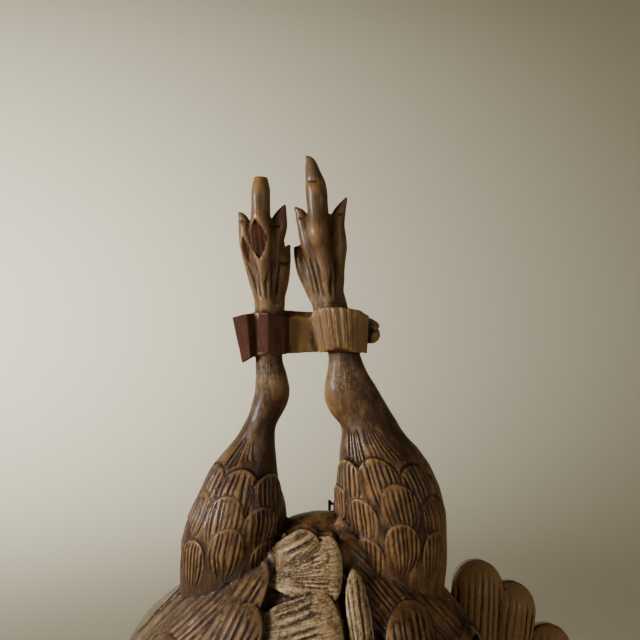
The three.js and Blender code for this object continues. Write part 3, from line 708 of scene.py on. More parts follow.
class Feather:
    """One carved feather: where it lies on its skin, its form and its cuts"""
    PLACE_SPREAD = 0.35
    START_SPREAD = 0.2
    STOPS = (0.78, 0.92)
    STRENGTHS = (0.4, 1.0)
    BEND = 0.8
    FADE_IN = 0.25
    FADE_OUT = 0.1

    def __init__(self, skin, root, tip, width, crown, lift, sink=3.0, undercut=0.0, cuts=6, dusty=0.0,
                 start=0.1, blunt=1.1, knife=1.0, edge_from=0.45, edge_cut=EDGE_CUT):
        self.skin = skin
        self.knife = knife
        self.edge_from = edge_from
        self.edge_cut = edge_cut
        self.root = np.asarray(root, dtype=float)
        self.along = np.asarray(tip, dtype=float) - self.root
        self.length = math.hypot(*self.along)
        self.across = np.array([-self.along[1], self.along[0]]) / self.length
        self.width = width
        self.head = min(0.5, 0.5 * width * blunt / self.length)
        self.crown = crown
        self.lift = lift
        self.sink = sink
        self.undercut = undercut
        self.dusty = dusty
        self.phase = len(FEATHERS) % 7
        rng = np.random.default_rng(len(FEATHERS))
        places = (np.arange(cuts) - (cuts - 1) / 2) / (cuts / 2 + 0.3)
        self.cuts = []
        for place in places:
            place = place + rng.uniform(-self.PLACE_SPREAD, self.PLACE_SPREAD) / cuts
            rim = math.sqrt(max(0.0, 1 - place * place))
            first = start + rng.uniform(0, self.START_SPREAD)
            last = 1 - self.head * (1 - rim * rng.uniform(*self.STOPS))
            strength = rng.uniform(*self.STRENGTHS)
            bend = rng.uniform(-self.BEND, self.BEND) / cuts
            self.cuts.append((place, first, last, strength, bend))
        FEATHERS.append(self)

    def form(self, name, spokes=40, rings=16):
        def at(ring, turn):
            rim = np.sin(math.pi / 2 * np.clip(ring / (rings - 2), 0, 1))
            rim = np.where(ring == rings, 0.0, rim)
            out = np.where(ring == rings - 1, rim * (1 - self.undercut), rim)
            reach = np.cos(turn) * np.where(np.cos(turn) > 0, self.head, 1 - self.head)
            side = 0.5 * self.width * np.sin(turn) * out
            far = 1 - self.head + reach * out
            raised = self.lift * far + self.crown * (1 - rim * rim)
            height = np.where(ring > rings - 2, -self.sink, raised)
            plan = self.root + far[:, None] * self.along + side[:, None] * self.across
            return self.skin.place(plan, height)

        return laid_form(name, spokes, rings, at)

    def read(self, points):
        """How far out each point lies, how far from the middle line, how far along, how far above the top"""
        plan, height = self.skin.read(points)
        offset = plan - self.root
        far = offset @ self.along / self.length ** 2
        side = offset @ self.across
        reach = far - 1 + self.head
        reach = reach / np.where(reach > 0, self.head, 1 - self.head)
        rim = np.hypot(reach, side / (0.5 * self.width))
        top = self.lift * np.clip(far, 0, 1) + self.crown * np.clip(1 - rim * rim, 0, 1)
        return rim, side, far, height - top

    def knife_marks(self, rim, side, far):
        """Depth of the cuts at each point, its place among them by number, their force there, and how far it
        lies from the feather's rounded edge"""
        back = np.clip((1 - self.head - far) / (1 - self.head), 0, 1)
        half = 0.5 * self.width * np.sqrt(1 - 0.85 * back * back)
        lines = [(place + bend * (1 - far)) * half for place, _, _, _, bend in self.cuts]
        tapers = [strength * smooth_step(far, first, first + self.FADE_IN)
                  * smooth_step(far, last, last - self.FADE_OUT) for _, first, last, strength, _ in self.cuts]
        lines, tapers = [np.reshape(rows, (len(self.cuts), len(far))) for rows in (lines, tapers)]
        width = CUT_WIDTH * self.knife * (0.6 + 0.4 * far)
        depth, lane, force = marks_from_lines(side - lines, tapers, width)
        from_edge = (rim - 1.0) * 0.5 * self.width
        shown = smooth_step(far, self.edge_from, self.edge_from + self.FADE_IN)
        edge = np.clip(1 - np.abs(from_edge) / CUT_WIDTH, 0, 1) * shown
        depth = np.maximum(self.knife * depth, self.edge_cut * edge)
        return depth, lane, force * self.knife, from_edge - EDGE_REACH * (1 - shown)


class Fan:
    """Straight knife cuts side by side on a skin, from one line of places to another"""
    PLACE_SPREAD = 0.25
    END_SPREAD = 0.12
    WEAKEST = 0.7
    FADE = 0.2

    def __init__(self, skin, starts, ends, count, width=1.0, depth=1.0, reach=3.0):
        self.skin = skin
        self.reach = reach
        self.width = width
        rng = np.random.default_rng(1000 + len(FANS))
        self.lines = []
        for i in range(count):
            t = (i + 0.5 + rng.uniform(-self.PLACE_SPREAD, self.PLACE_SPREAD)) / count
            start = np.array(starts[0]) * (1 - t) + np.array(starts[1]) * t
            end = np.array(ends[0]) * (1 - t) + np.array(ends[1]) * t
            start = start + (end - start) * rng.uniform(0, self.END_SPREAD)
            end = end - (end - start) * rng.uniform(0, self.END_SPREAD)
            self.lines.append((start, end, depth * rng.uniform(self.WEAKEST, 1.0)))
        corners = np.array([starts[0], starts[1], ends[0], ends[1]], dtype=float)
        self.low = corners.min(axis=0) - width
        self.high = corners.max(axis=0) + width
        FANS.append(self)

    def knife_marks(self, points):
        """Numbers of the points that are reached, then the same marks as a feather's"""
        index = self.skin.candidates(points, self.low, self.high)
        plan, height = self.skin.read(points[index])
        index, plan = index[np.abs(height) < self.reach], plan[np.abs(height) < self.reach]
        sides, tapers = [], []
        for start, end, strength in self.lines:
            along = end - start
            length = math.hypot(*along)
            offset = plan - start
            t = offset @ along / length ** 2
            sides.append((offset @ np.array([-along[1], along[0]])) / length)
            tapers.append(strength * smooth_step(t, 0, self.FADE) * smooth_step(t, 1, 1 - self.FADE))
        sides, tapers = np.array(sides), np.array(tapers)
        if len(sides) > 1 and len(index) and np.mean(sides[0] - sides[-1]) < 0:
            sides, tapers = sides[::-1], tapers[::-1]
        return index, *marks_from_lines(sides, tapers, self.width)


def leg_fan(leg, girth, feet, tops, count, **sizes):
    """Cuts along a leg, a palm or a toe. Feet and tops each give two angles and a height"""
    starts, ends = [[(math.radians(angle) * girth, height) for angle in angles]
                    for angles, height in (feet, tops)]
    Fan(LegSkin(leg, girth), starts, ends, count, **sizes)


def cross_cut(leg, girth, height, start, end, **sizes):
    """One cut across a leg, a palm or a toe, from one angle to another"""
    leg_fan(leg, girth, ((start, start), height), ((end, end), height), 1, **sizes)


class Break:
    """Wood split off: an oval or a box from the front, cut back to a plane with splinters along the grain"""
    TAPER = 1.6
    REACH = 4.0
    FACING = 0.4
    SPLINTER = 0.25
    SPLINTER_WAVES = (4.2, 1.7)

    def __init__(self, place, half_sizes, turn, y, box=False, carve=True):
        self.place = np.asarray(place, dtype=float)
        self.half_sizes = half_sizes
        self.turn = math.radians(turn)
        self.y = y
        self.box = box
        self.carve = carve
        BREAKS.append(self)

    def inside(self, points, normals):
        right, up = (points[:, (0, 2)] - self.place).T
        across = right * math.cos(self.turn) + up * math.sin(self.turn)
        along = up * math.cos(self.turn) - right * math.sin(self.turn)
        u = np.abs(across / self.half_sizes[0])
        v = np.abs(along / self.half_sizes[1])
        shape = np.maximum(u, v) if self.box else u + v ** self.TAPER
        shown = (points[:, 1] < self.y + self.REACH) & (normals[:, 1] < self.FACING)
        return (shape < 1) & shown, across

    def chip(self, points, normals):
        if not self.carve:
            return points
        inside, across = self.inside(points, normals)
        fine, coarse = self.SPLINTER_WAVES
        plane = self.y + self.SPLINTER * np.sin(across * fine) * np.sin(across * coarse + 1)
        chipped = points.copy()
        chipped[:, 1] = np.where(inside, np.maximum(points[:, 1], plane), points[:, 1])
        return chipped


def marks_from_lines(sides, tapers, width):
    """Depth from 0 to 1, place among the cuts and force of the nearest cut, from the distances to each cut"""
    if not len(sides):
        return [np.zeros(sides.shape[-1]) for _ in range(3)]
    depth = np.max(tapers * np.clip(1 - np.abs(sides) / width, 0, 1), axis=0)
    gaps = np.maximum(sides[:-1] - sides[1:], 0.3)
    if len(sides) == 1:
        lane = sides[0] / LONE_CUT
    else:
        lane = np.minimum(sides[0], 0) / gaps[0] + np.maximum(sides[-1], 0) / gaps[-1]
        lane = lane + np.sum(np.clip(sides[:-1] / gaps, 0, 1), axis=0)
    nearest = np.clip(np.rint(lane), 0, len(sides) - 1).astype(int)
    outside = (lane < -0.5) | (lane > len(sides) - 0.5)
    force = np.where(outside, 0, tapers[nearest, np.arange(len(nearest))])
    return depth, lane, force


def smooth_step(value, low, high):
    t = np.clip((value - low) / (high - low), 0, 1)
    return t * t * (3 - 2 * t)


class CARVING_OT_legs(bpy.types.Operator):
    """Rough out the legs, hocks, palms and toes"""
    bl_idname = "carving.legs"
    bl_label = "Legs and feet"

    def execute(self, context):
        for side, leg, palm, toes in (
            ("left", LEFT_LEG, LEFT_PALM, LEFT_TOES),
            ("right", RIGHT_LEG, RIGHT_PALM, RIGHT_TOES),
        ):
            limb(side + "_leg", leg, 48, 90)
            limb(side + "_palm", palm, 32, 30)
            for toe, sections in toes.items():
                limb(side + "_" + toe + "_toe", sections)
        for toes, lines in ((LEFT_TOES, LEFT_CLAW_LINES), (RIGHT_TOES, RIGHT_CLAW_LINES)):
            for toe, *line in lines:
                cross_cut(toes[toe], TOE_GIRTH, *line, width=FOLD_WIDTH, depth=CLAW_CUT)
        for palm, fans in ((LEFT_PALM, LEFT_PALM_CUTS), (RIGHT_PALM, RIGHT_PALM_CUTS)):
            for feet, tops, count, depth in fans:
                leg_fan(palm, PALM_GIRTH, feet, tops, count, width=PALM_CUT_WIDTH, depth=depth,
                        reach=PALM_REACH)
        for fold in FOOT_FOLDS:
            cross_cut(RIGHT_PALM, PALM_GIRTH, *fold, width=FOLD_WIDTH, depth=FOLD_CUT, reach=PALM_REACH)
        for place, half_sizes, turn, y, carve in FOOT_BREAKS:
            Break(place, half_sizes, turn, y, carve=carve)
        return {"FINISHED"}


class CARVING_OT_thigh_feathers(bpy.types.Operator):
    """Lay the small feathers on the thighs"""
    bl_idname = "carving.thigh_feathers"
    bl_label = "Thigh feathers"

    def execute(self, context):
        for leg, tips in ((LEFT_LEG, LEFT_SCALES), (RIGHT_LEG, RIGHT_SCALES)):
            for angle, height in tips + BACK_SCALES:
                girth = float(np.interp(height, [s[2] for s in leg], [s[3] for s in leg]))
                skin = LegSkin(leg, girth)
                place = math.radians(angle) * girth
                feather = Feather(skin, (place, height - SCALE_LENGTH), (place, height), SCALE_WIDTH,
                                  SMALL_CROWN, SCALE_LIFT, sink=SMALL_SINK, cuts=SCALE_CUTS,
                                  start=SCALE_CUT_START, knife=SCALE_KNIFE, edge_cut=SCALE_EDGE_CUT)
                feather.form("thigh_feather", 32, 12)
        for leg, girth, fans in ((LEFT_LEG, 14.0, LEFT_LEG_CUTS), (RIGHT_LEG, 18.0, RIGHT_LEG_CUTS)):
            for feet, tops, count, depth in fans:
                leg_fan(leg, girth, feet, tops, count, width=LEG_CUT_WIDTH, depth=depth)
        return {"FINISHED"}


class CARVING_OT_binding(bpy.types.Operator):
    """Cut the binding round the ankles, with its twig"""
    bl_idname = "carving.binding"
    bl_label = "Binding"

    def execute(self, context):
        outline = list(BROKEN_WRAP)
        wide = sum(width for width, _ in FLUTES)
        start = 0.0
        for width, depth in FLUTES:
            for i in range(FLUTE_STEPS):
                across = start + width * i / FLUTE_STEPS
                turn = math.pi * (WRAP_BOW_ENDS + (1 - 2 * WRAP_BOW_ENDS) * across / wide)
                bow = math.sin(turn) ** WRAP_BOW_POWER
                hollow = 0.5 * depth * (1 - math.cos(2 * math.pi * i / FLUTE_STEPS))
                outline.append((WRAP_LEFT + across, WRAP_SIDE + (WRAP_FRONT - WRAP_SIDE) * bow + hollow))
            start += width
        outline.append((WRAP_LEFT + wide, WRAP_SIDE))
        outline.append((WRAP_LEFT + wide, BINDING_BACK))
        outline += [(x, BINDING_BACK) for x, _ in reversed(BINDING_BOTTOMS[1:-1])]
        deselect_all()
        bpy.ops.mesh.primitive_circle_add(vertices=len(outline), fill_type="NGON")
        obj = bpy.context.active_object
        obj.name = "binding"
        write_points(obj.data, np.array([(x, y, 0) for x, y in outline]) * MM)
        bpy.ops.object.mode_set(mode="EDIT")
        bpy.ops.mesh.select_all(action="SELECT")
        bpy.ops.mesh.extrude_region_move(TRANSFORM_OT_translate={"value": (0, 0, MM)})
        bpy.ops.object.mode_set(mode="OBJECT")
        points = read_points(obj.data) / MM
        upper = points[:, 2] > 0.5
        points[:, 0] += np.where(upper, 0, read_line(BINDING_SLANT, points[:, 0]))
        tops = read_line(BINDING_TOPS, points[:, 0])
        bottoms = read_line(BINDING_BOTTOMS, points[:, 0])
        points[:, 2] = np.where(upper, tops, bottoms)
        write_points(obj.data, points * MM)
        turn_faces_out(obj)
        FORMS.append(obj)
        Break(BROKEN_FACE, BROKEN_HALF, 0, -33.0, box=True, carve=False)
        limb("twig", TWIG, 24, 12)
        knob("twig_knob", *TWIG_KNOB)
        return {"FINISHED"}


class CARVING_OT_body(bpy.types.Operator):
    """Rough out the body and lay the feathers under the tail, on the flanks, the breast and the sides"""
    bl_idname = "carving.body"
    bl_label = "Body"

    def execute(self, context):
        skin = FrontSkin([torso(), knob("dome", *DOME)])
        for table, edge_cut in ((VENT_FEATHERS, VENT_EDGE_CUT), (FLANK_FEATHERS, EDGE_CUT)):
            for root, tip, width, crown, lift, cuts, dusty, blunt, knife in table:
                feather = Feather(skin, root, tip, width, crown, lift, sink=BODY_SINK, cuts=cuts, dusty=dusty,
                                  blunt=blunt, knife=knife, edge_from=BODY_EDGE_FROM, edge_cut=edge_cut)
                feather.form("body_feather")
        for starts, ends, count, width, depth in VENT_CUTS:
            Fan(skin, starts, ends, count, width=width, depth=depth, reach=VENT_REACH)
        edge = np.array(TAIL_EDGE, dtype=float)
        fronts = skin.y(edge) + TAIL_EDGE_SINK
        limb("tail_edge", [(x, y, z, *TAIL_EDGE_HALF) for (x, z), y in zip(edge, fronts)], 28, 40)
        for row, count in enumerate(BREAST_COUNTS):
            height = BREAST_TOP - row * BREAST_ROW_STEP
            spacing = BREAST_SPACING * (1 - BREAST_CLOSING * row)
            for i in range(count):
                x = (i - (count - 1) / 2) * spacing
                feather = Feather(skin, (BREAST_GATHER * x, height - BREAST_LENGTH), (x, height),
                                  *BREAST_FEATHER, cuts=8, dusty=BREAST_DUST)
                feather.form("breast_feather")
        for side in (-1, 1):
            skin = SideSkin(side)
            for y, z in SIDE_TIPS:
                feather = Feather(skin, (y, z - SIDE_LENGTH), (y, z), *SIDE_FEATHER, sink=SIDE_SINK, cuts=7,
                                  dusty=SIDE_DUST)
                feather.form("side_feather")
        return {"FINISHED"}


class CARVING_OT_wings(bpy.types.Operator):
    """Fan out the feathers of both wings"""
    bl_idname = "carving.wings"
    bl_label = "Wings"

    def execute(self, context):
        for side, drop, close in ((1, 0.0, 1.0), (-1, LEFT_WING_DROP, LEFT_WING_CLOSE)):
            for root, tip, front in WING_TIPS:
                start = np.array([side * root[0] * close, root[1] - drop])
                end = np.array([side * tip[0] * close, tip[1] - drop])
                cover = start + (end - start) * COVER_LENGTH
                layers = (("wing_feather", front, end), ("wing_cover", front + COVER_STEP, cover))
                for name, stand, far_end in layers:
                    skin = WingSkin(stand, start, far_end)
                    feather = Feather(skin, start, far_end, WING_WIDTH, WING_CROWN, 0,
                                      undercut=WING_UNDERCUT, cuts=7, knife=WING_KNIFE)
                    feather.form(name)
            shoulder = [(side * x * close, y, z - drop / 2, w, d) for x, y, z, w, d in SHOULDER]
            limb("shoulder", shoulder, 40, 40)
        return {"FINISHED"}


class CARVING_OT_head(bpy.types.Operator):
    """Rough out the neck, the head, the beak and the eye"""
    bl_idname = "carving.head"
    bl_label = "Neck and head"

    def execute(self, context):
        limb("neck", NECK, 60, 60)
        skin = LegSkin(sorted(NECK, key=lambda section: section[2]), NECK_GIRTH)
        for row, (height, count) in enumerate(NECK_ROWS):
            for i in range(count):
                turn = NECK_FROM + NECK_SPAN * (i + 0.5 * (row % 2)) / count
                place = math.radians(turn) * NECK_GIRTH
                feather = Feather(skin, (place, height - NECK_LENGTH), (place, height), NECK_WIDTH,
                                  SMALL_CROWN, NECK_LIFT, sink=SMALL_SINK, cuts=3, knife=NECK_KNIFE)
                feather.form("neck_feather", 24, 8)
        limb("beak", BEAK, 32, 30)
        knob("eye", EYE, (EYE_RADIUS, EYE_RADIUS, EYE_RADIUS))
        return {"FINISHED"}


def joined_wood(voxel):
    """All the roughed-out forms as one block"""
    deselect_all()
    for form in FORMS:
        form.select_set(True)
    bird = FORMS[0]
    bpy.context.view_layer.objects.active = bird
    bpy.ops.object.join()
    bird.name = BIRD
    bird.data.name = BIRD
    remesh = bird.modifiers.new("one block", "REMESH")
    remesh.mode = "VOXEL"
    remesh.voxel_size = voxel
    bpy.ops.object.modifier_apply(modifier=remesh.name)
    return bird


def vertex_normals(mesh):
    normals = np.empty(len(mesh.vertices) * 3)
    mesh.vertices.foreach_get("normal", normals)
    return normals.reshape(-1, 3)


def knife_work(points, normals):
    """What the knife and the dust did at each point, by name"""
    names = ("cut", "dusty", "golden_and_painted_light", "lane", "force", "barb_across", "barb_along")
    work = {name: np.zeros(len(points)) for name in names}
    work["edge"] = np.full(len(points), EDGE_REACH)
    work["barb_across"] = points[:, 0] + points[:, 1] * 0.5
    work["barb_along"] = points[:, 2].copy()
    nearest = np.full(len(points), FEATHER_GAP)
    for feather in FEATHERS:
        reach = feather.width / 2 + 2
        ends = np.stack([feather.root, feather.root + feather.along])
        index = feather.skin.candidates(points, ends.min(axis=0) - reach, ends.max(axis=0) + reach)
        rim, side, far, gap = feather.read(points[index])
        near = (rim < FEATHER_RIM) & (np.abs(gap) < nearest[index]) & (points[index, 1] < -1)
        if isinstance(feather.skin, (FrontSkin, WingSkin)):
            near &= normals[index, 1] < FRONT_FACING
        index, rim, side, far, gap = index[near], rim[near], side[near], far[near], gap[near]
        for name, values in zip(("cut", "lane", "force", "edge"), feather.knife_marks(rim, side, far)):
            work[name][index] = values
        work["dusty"][index] = feather.dusty
        # Golden wood on the wings, also painted light that brightens their shaded feathers
        work["golden_and_painted_light"][index] = WING_GOLD_AND_PAINTED_LIGHT * isinstance(feather.skin, WingSkin)
        spread = 0.4 + 0.6 * np.clip(far, 0, 1)
        work["barb_across"][index] = side / spread + BARB_PATCH * (1 + feather.phase)
        work["barb_along"][index] = far * feather.length
        nearest[index] = np.abs(gap)
    for fan in FANS:
        index, cut, lane, force = fan.knife_marks(points)
        deeper = force > work["force"][index]
        work["cut"][index] = np.maximum(work["cut"][index], cut)
        index = index[deeper]
        work["lane"][index] = lane[deeper]
        work["force"][index] = force[deeper]
    return work


def ripples(points, size, seed):
    """Smooth unevenness between -1 and 1, longer along the grain"""
    rng = np.random.default_rng(seed)
    total = np.zeros(len(points))
    waves = 9
    for _ in range(waves):
        direction = rng.normal(size=3) * np.array([1, 1, 0.4])
        direction /= np.linalg.norm(direction)
        wave = 2 * math.pi / (size * rng.uniform(0.7, 1.5))
        total += np.sin(points @ direction * wave + rng.uniform(0, 6.3))
    return total / math.sqrt(waves) / 1.5


def cut_wood(bird, depth):
    points = read_points(bird.data) / MM
    normals = vertex_normals(bird.data)
    cut = knife_work(points, normals)["cut"]
    uneven = TOOL_MARK * ripples(points, 9.0, 5) + 0.5 * TOOL_MARK * ripples(points, 3.5, 6)
    points = points - normals * (cut * depth + uneven * (1 - cut))[:, None]
    for flat in BREAKS:
        points = flat.chip(points, normals)
    write_points(bird.data, points * MM)
    keep_in_box(bird)


def keep_in_box(bird):
    """Cuts the back flat at the wall and keeps the carving inside the CAD model's box"""
    low, high = [np.array(corner) for corner in CAD_BOX]
    write_points(bird.data, np.clip(read_points(bird.data), low, high))


def thin_faces(bird, faces):
    """Thins the plainer lower part first, so that the feet, the thighs and the tail keep their finest cuts"""
    heights = read_points(bird.data)[:, 2] / MM
    plainer = bird.vertex_groups.new(name="plainer")
    plainer.add(np.flatnonzero(heights < PLAINER_BELOW).tolist(), 1.0, "REPLACE")
    for group in (plainer.name, ""):
        triangles = sum(len(face.vertices) - 2 for face in bird.data.polygons)
        kept = faces
        if group:
            corners = np.array([heights[face.vertices[0]] for face in bird.data.polygons])
            kept = triangles * np.mean(corners >= PLAINER_BELOW) + faces * PLAINER_SHARE
        if triangles <= kept:
            continue
        decimate = bird.modifiers.new("thin", "DECIMATE")
        decimate.ratio = kept / triangles
        decimate.vertex_group = group
        choose(bird)
        bpy.ops.object.modifier_apply(modifier=decimate.name)
    bird.vertex_groups.clear()


def flatten_shading(bird):
    """Shades the sawn back flat"""
    heights = read_points(bird.data)[:, 1] / MM
    at_back = [min(heights[v] for v in face.vertices) > -0.02 for face in bird.data.polygons]
    bird.data.polygons.foreach_set("select", at_back)
    bpy.ops.object.mode_set(mode="EDIT")
    bpy.ops.mesh.faces_shade_flat()
    bpy.ops.object.mode_set(mode="OBJECT")


def hollowness(mesh, passes):
    """How hollow (above 0) or proud (below 0) the surface is round each vertex"""
    points = read_points(mesh)
    normals = vertex_normals(mesh)
    edges = np.empty(len(mesh.edges) * 2, dtype=np.int64)
    mesh.edges.foreach_get("vertices", edges)
    a, b = edges.reshape(-1, 2).T
    apart = points[b] - points[a]
    length = np.linalg.norm(apart, axis=1) + 1e-9
    bend = np.zeros(len(points))
    count = np.zeros(len(points))
    np.add.at(bend, a, np.einsum("ij,ij->i", normals[a], apart) / length)
    np.add.at(bend, b, -np.einsum("ij,ij->i", normals[b], apart) / length)
    np.add.at(count, a, 1)
    np.add.at(count, b, 1)
    bend /= np.maximum(count, 1)
    for _ in range(passes):
        total = bend.copy()
        np.add.at(total, a, bend[b])
        np.add.at(total, b, bend[a])
        bend = total / (count + 1)
    return bend


def add_attribute(mesh, name, values):
    layer = mesh.attributes.new(name, "FLOAT", "POINT")
    layer.data.foreach_set("value", np.ascontiguousarray(values, dtype=np.float32))


def mark_binding(points, work):
    """The flutes of the wrap as knife cuts, and the warm worn wood of the wrap and of the strap beside it"""
    x, y, z = points.T
    grooves = WRAP_LEFT + np.cumsum([0] + [width for width, _ in FLUTES])
    wrap = (x > WRAP_LEFT) & (x < grooves[-1] + 1) & (y < WRAP_SIDE + 1)
    wrap &= (z > read_line(BINDING_BOTTOMS, x) - WRAP_MARGIN) & (z < read_line(BINDING_TOPS, x) + WRAP_MARGIN)
    slanted = x - read_line(BINDING_SLANT, x) * (SLANT_FROM - z) / SLANT_HEIGHT
    work["lane"][wrap] = np.interp(slanted[wrap], grooves, np.arange(len(grooves)))
    work["force"][wrap] = np.interp(slanted[wrap], grooves[1:], [depth * FLUTE_FORCE for _, depth in FLUTES])
    strap = (x > BROKEN_WRAP[-2][0]) & (x < WRAP_LEFT) & (y < STRAP_FRONT)
    strap &= (z > STRAP_LEVELS[0]) & (z < STRAP_LEVELS[1])
    work["golden_and_painted_light"] += wrap + STRAP_GOLD * strap


def mark_dust(points, normals, work):
    """Dust at the front left of the ankles and on the sawn back"""
    ankle = sum(np.clip(1 - np.abs(points[:, 2] - height) / reach, 0, 1) for height, reach in ANKLES)
    facing = np.clip(-normals[:, 1] - 0.6 * normals[:, 0], 0, 1)
    dust = ANKLE_DUST * np.sqrt(ankle) * facing * (points[:, 1] < ANKLE_FRONT)
    work["dusty"] = np.maximum(work["dusty"], dust)
    work["dusty"][points[:, 1] > -BACK_DEPTH] = BACK_DUST


def at_claws(points):
    """1 beyond the cut where each claw begins"""
    claws = np.zeros(len(points))
    for toes, lines in ((LEFT_TOES, LEFT_CLAW_LINES), (RIGHT_TOES, RIGHT_CLAW_LINES)):
        for toe, height, _, _ in lines:
            skin = LegSkin(toes[toe], TOE_GIRTH)
            index = skin.candidates(points, (0, height), (0, height + CLAW_LENGTH))
            claws[index[skin.read(points[index])[1] < 1.0]] = 1
    return claws


def at_breaks(points, normals):
    """1 where bare broken wood shows, but not on the leg below the binding"""
    broken = np.zeros(len(points))
    for flat in BREAKS:
        broken[flat.inside(points, normals)[0]] = 1
    below = points[:, 2] < read_line(BINDING_BOTTOMS, points[:, 0]) - BREAK_MARGIN
    broken[below & (points[:, 2] > BINDING_BOTTOMS[0][1])] = 0
    return broken


class CARVING_OT_carve(bpy.types.Operator):
    """Join the forms into one block and cut the feathers' grooves"""
    bl_idname = "carving.carve"
    bl_label = "Join and carve"

    def execute(self, context):
        sizes = context.scene.carving_sizes
        voxel = sizes.voxel
        bird = joined_wood(voxel)
        cut_wood(bird, sizes.groove_depth / MM)
        thin_faces(bird, sizes.faces)
        keep_in_box(bird)
        choose(bird)
        bpy.ops.object.shade_smooth()
        flatten_shading(bird)
        mesh = bird.data
        points = read_points(mesh) / MM
        normals = vertex_normals(mesh)
        work = knife_work(points, normals)
        mark_binding(points, work)
        mark_dust(points, normals, work)
        work["golden_and_painted_light"] += FEET_GOLD * (points[:, 2] > FEET_FROM)
        fine = hollowness(mesh, 1)
        broad = hollowness(mesh, 12)
        knob_place, knob_half = np.array(TWIG_KNOB)
        at_knob = np.max(np.abs(points - knob_place) / (knob_half + KNOB_REACH), axis=1) < 1
        work["horn"] = at_claws(points)
        # Hollowness darkens the hollows with painted shade and gathered stain, and the twig's knob is darker
        work["recess_stain_and_shade"] = np.clip(fine * 3 + broad * 6 + KNOB_STAIN * at_knob, 0, 1)
        work["proud"] = np.clip(-fine * 3 - broad * 4, 0, 1)
        work["broken"] = at_breaks(points, normals)
        for name, values in work.items():
            add_attribute(mesh, name, values)
        bird.data.materials.clear()
        bird.data.materials.append(carved_wood(context.scene.carving_finish))
        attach(bird, "root")
        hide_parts("carved_bird")
        return {"FINISHED"}


class Maths:
    """A socket that can be used in a Python expression"""

    def __init__(self, tree, socket):
        self.tree = tree
        self.socket = socket

    def _math(self, operation, *values):
        node = self.tree.nodes.new("ShaderNodeMath")
        node.operation = operation
        for slot, value in zip(node.inputs, values):
            if isinstance(value, Maths):
                self.tree.links.new(value.socket, slot)
            else:
                slot.default_value = value
        return Maths(self.tree, node.outputs[0])

    def __add__(self, other):
        return self._math("ADD", self, other)

    def __radd__(self, other):
        return self._math("ADD", other, self)

    def __sub__(self, other):
        return self._math("SUBTRACT", self, other)

    def __rsub__(self, other):
        return self._math("SUBTRACT", other, self)

    def __mul__(self, other):
        return self._math("MULTIPLY", self, other)

    def __rmul__(self, other):
        return self._math("MULTIPLY", other, self)

    def __truediv__(self, other):
        return self._math("DIVIDE", self, other)

    def __pow__(self, other):
        return self._math("POWER", self, other)

    def __abs__(self):
        return self._math("ABSOLUTE", self)

    def folded(self):
        """Distance to the nearest whole number"""
        return self._math("PINGPONG", self, 0.5)

    def clamped(self):
        node = self.tree.nodes.new("ShaderNodeClamp")
        self.tree.links.new(self.socket, node.inputs[0])
        return Maths(self.tree, node.outputs[0])


class Finish:
    """A material's node tree, with one method for every node that isn't maths"""

    def __init__(self, name):
        self.material = bpy.data.materials.new(name)
        self.material.use_nodes = True
        self.tree = self.material.node_tree
        self.shader = self.tree.nodes["Principled BSDF"]

    def node(self, kind, settings=None, output=0, **inputs):
        node = self.tree.nodes.new(kind)
        for key, value in (settings or {}).items():
            setattr(node, key, value)
        for key, value in inputs.items():
            self.fill(node.inputs[key.replace("_", " ")], value)
        return Maths(self.tree, node.outputs[output])

    def fill(self, slot, value):
        if isinstance(value, Maths):
            self.tree.links.new(value.socket, slot)
        elif isinstance(value, (tuple, list)) and slot.type == "RGBA":
            slot.default_value = (*value, 1.0)
        else:
            slot.default_value = value

    def mix(self, factor, first, second):
        node = self.tree.nodes.new("ShaderNodeMix")
        node.data_type = "RGBA"
        self.fill(node.inputs[0], factor)
        self.fill(node.inputs[6], first)
        self.fill(node.inputs[7], second)
        return Maths(self.tree, node.outputs[2])

    def attribute(self, name):
        return self.node("ShaderNodeAttribute", {"attribute_name": name}, output=2)

    def noise(self, scale, stretch=(1, 1, 1), detail=4.0, roughness=0.6):
        place = self.node("ShaderNodeTexCoord", output=3)
        turned = self.node("ShaderNodeMapping", Vector=place, Scale=stretch)
        return self.node("ShaderNodeTexNoise", Vector=turned, Scale=scale, Detail=detail, Roughness=roughness)


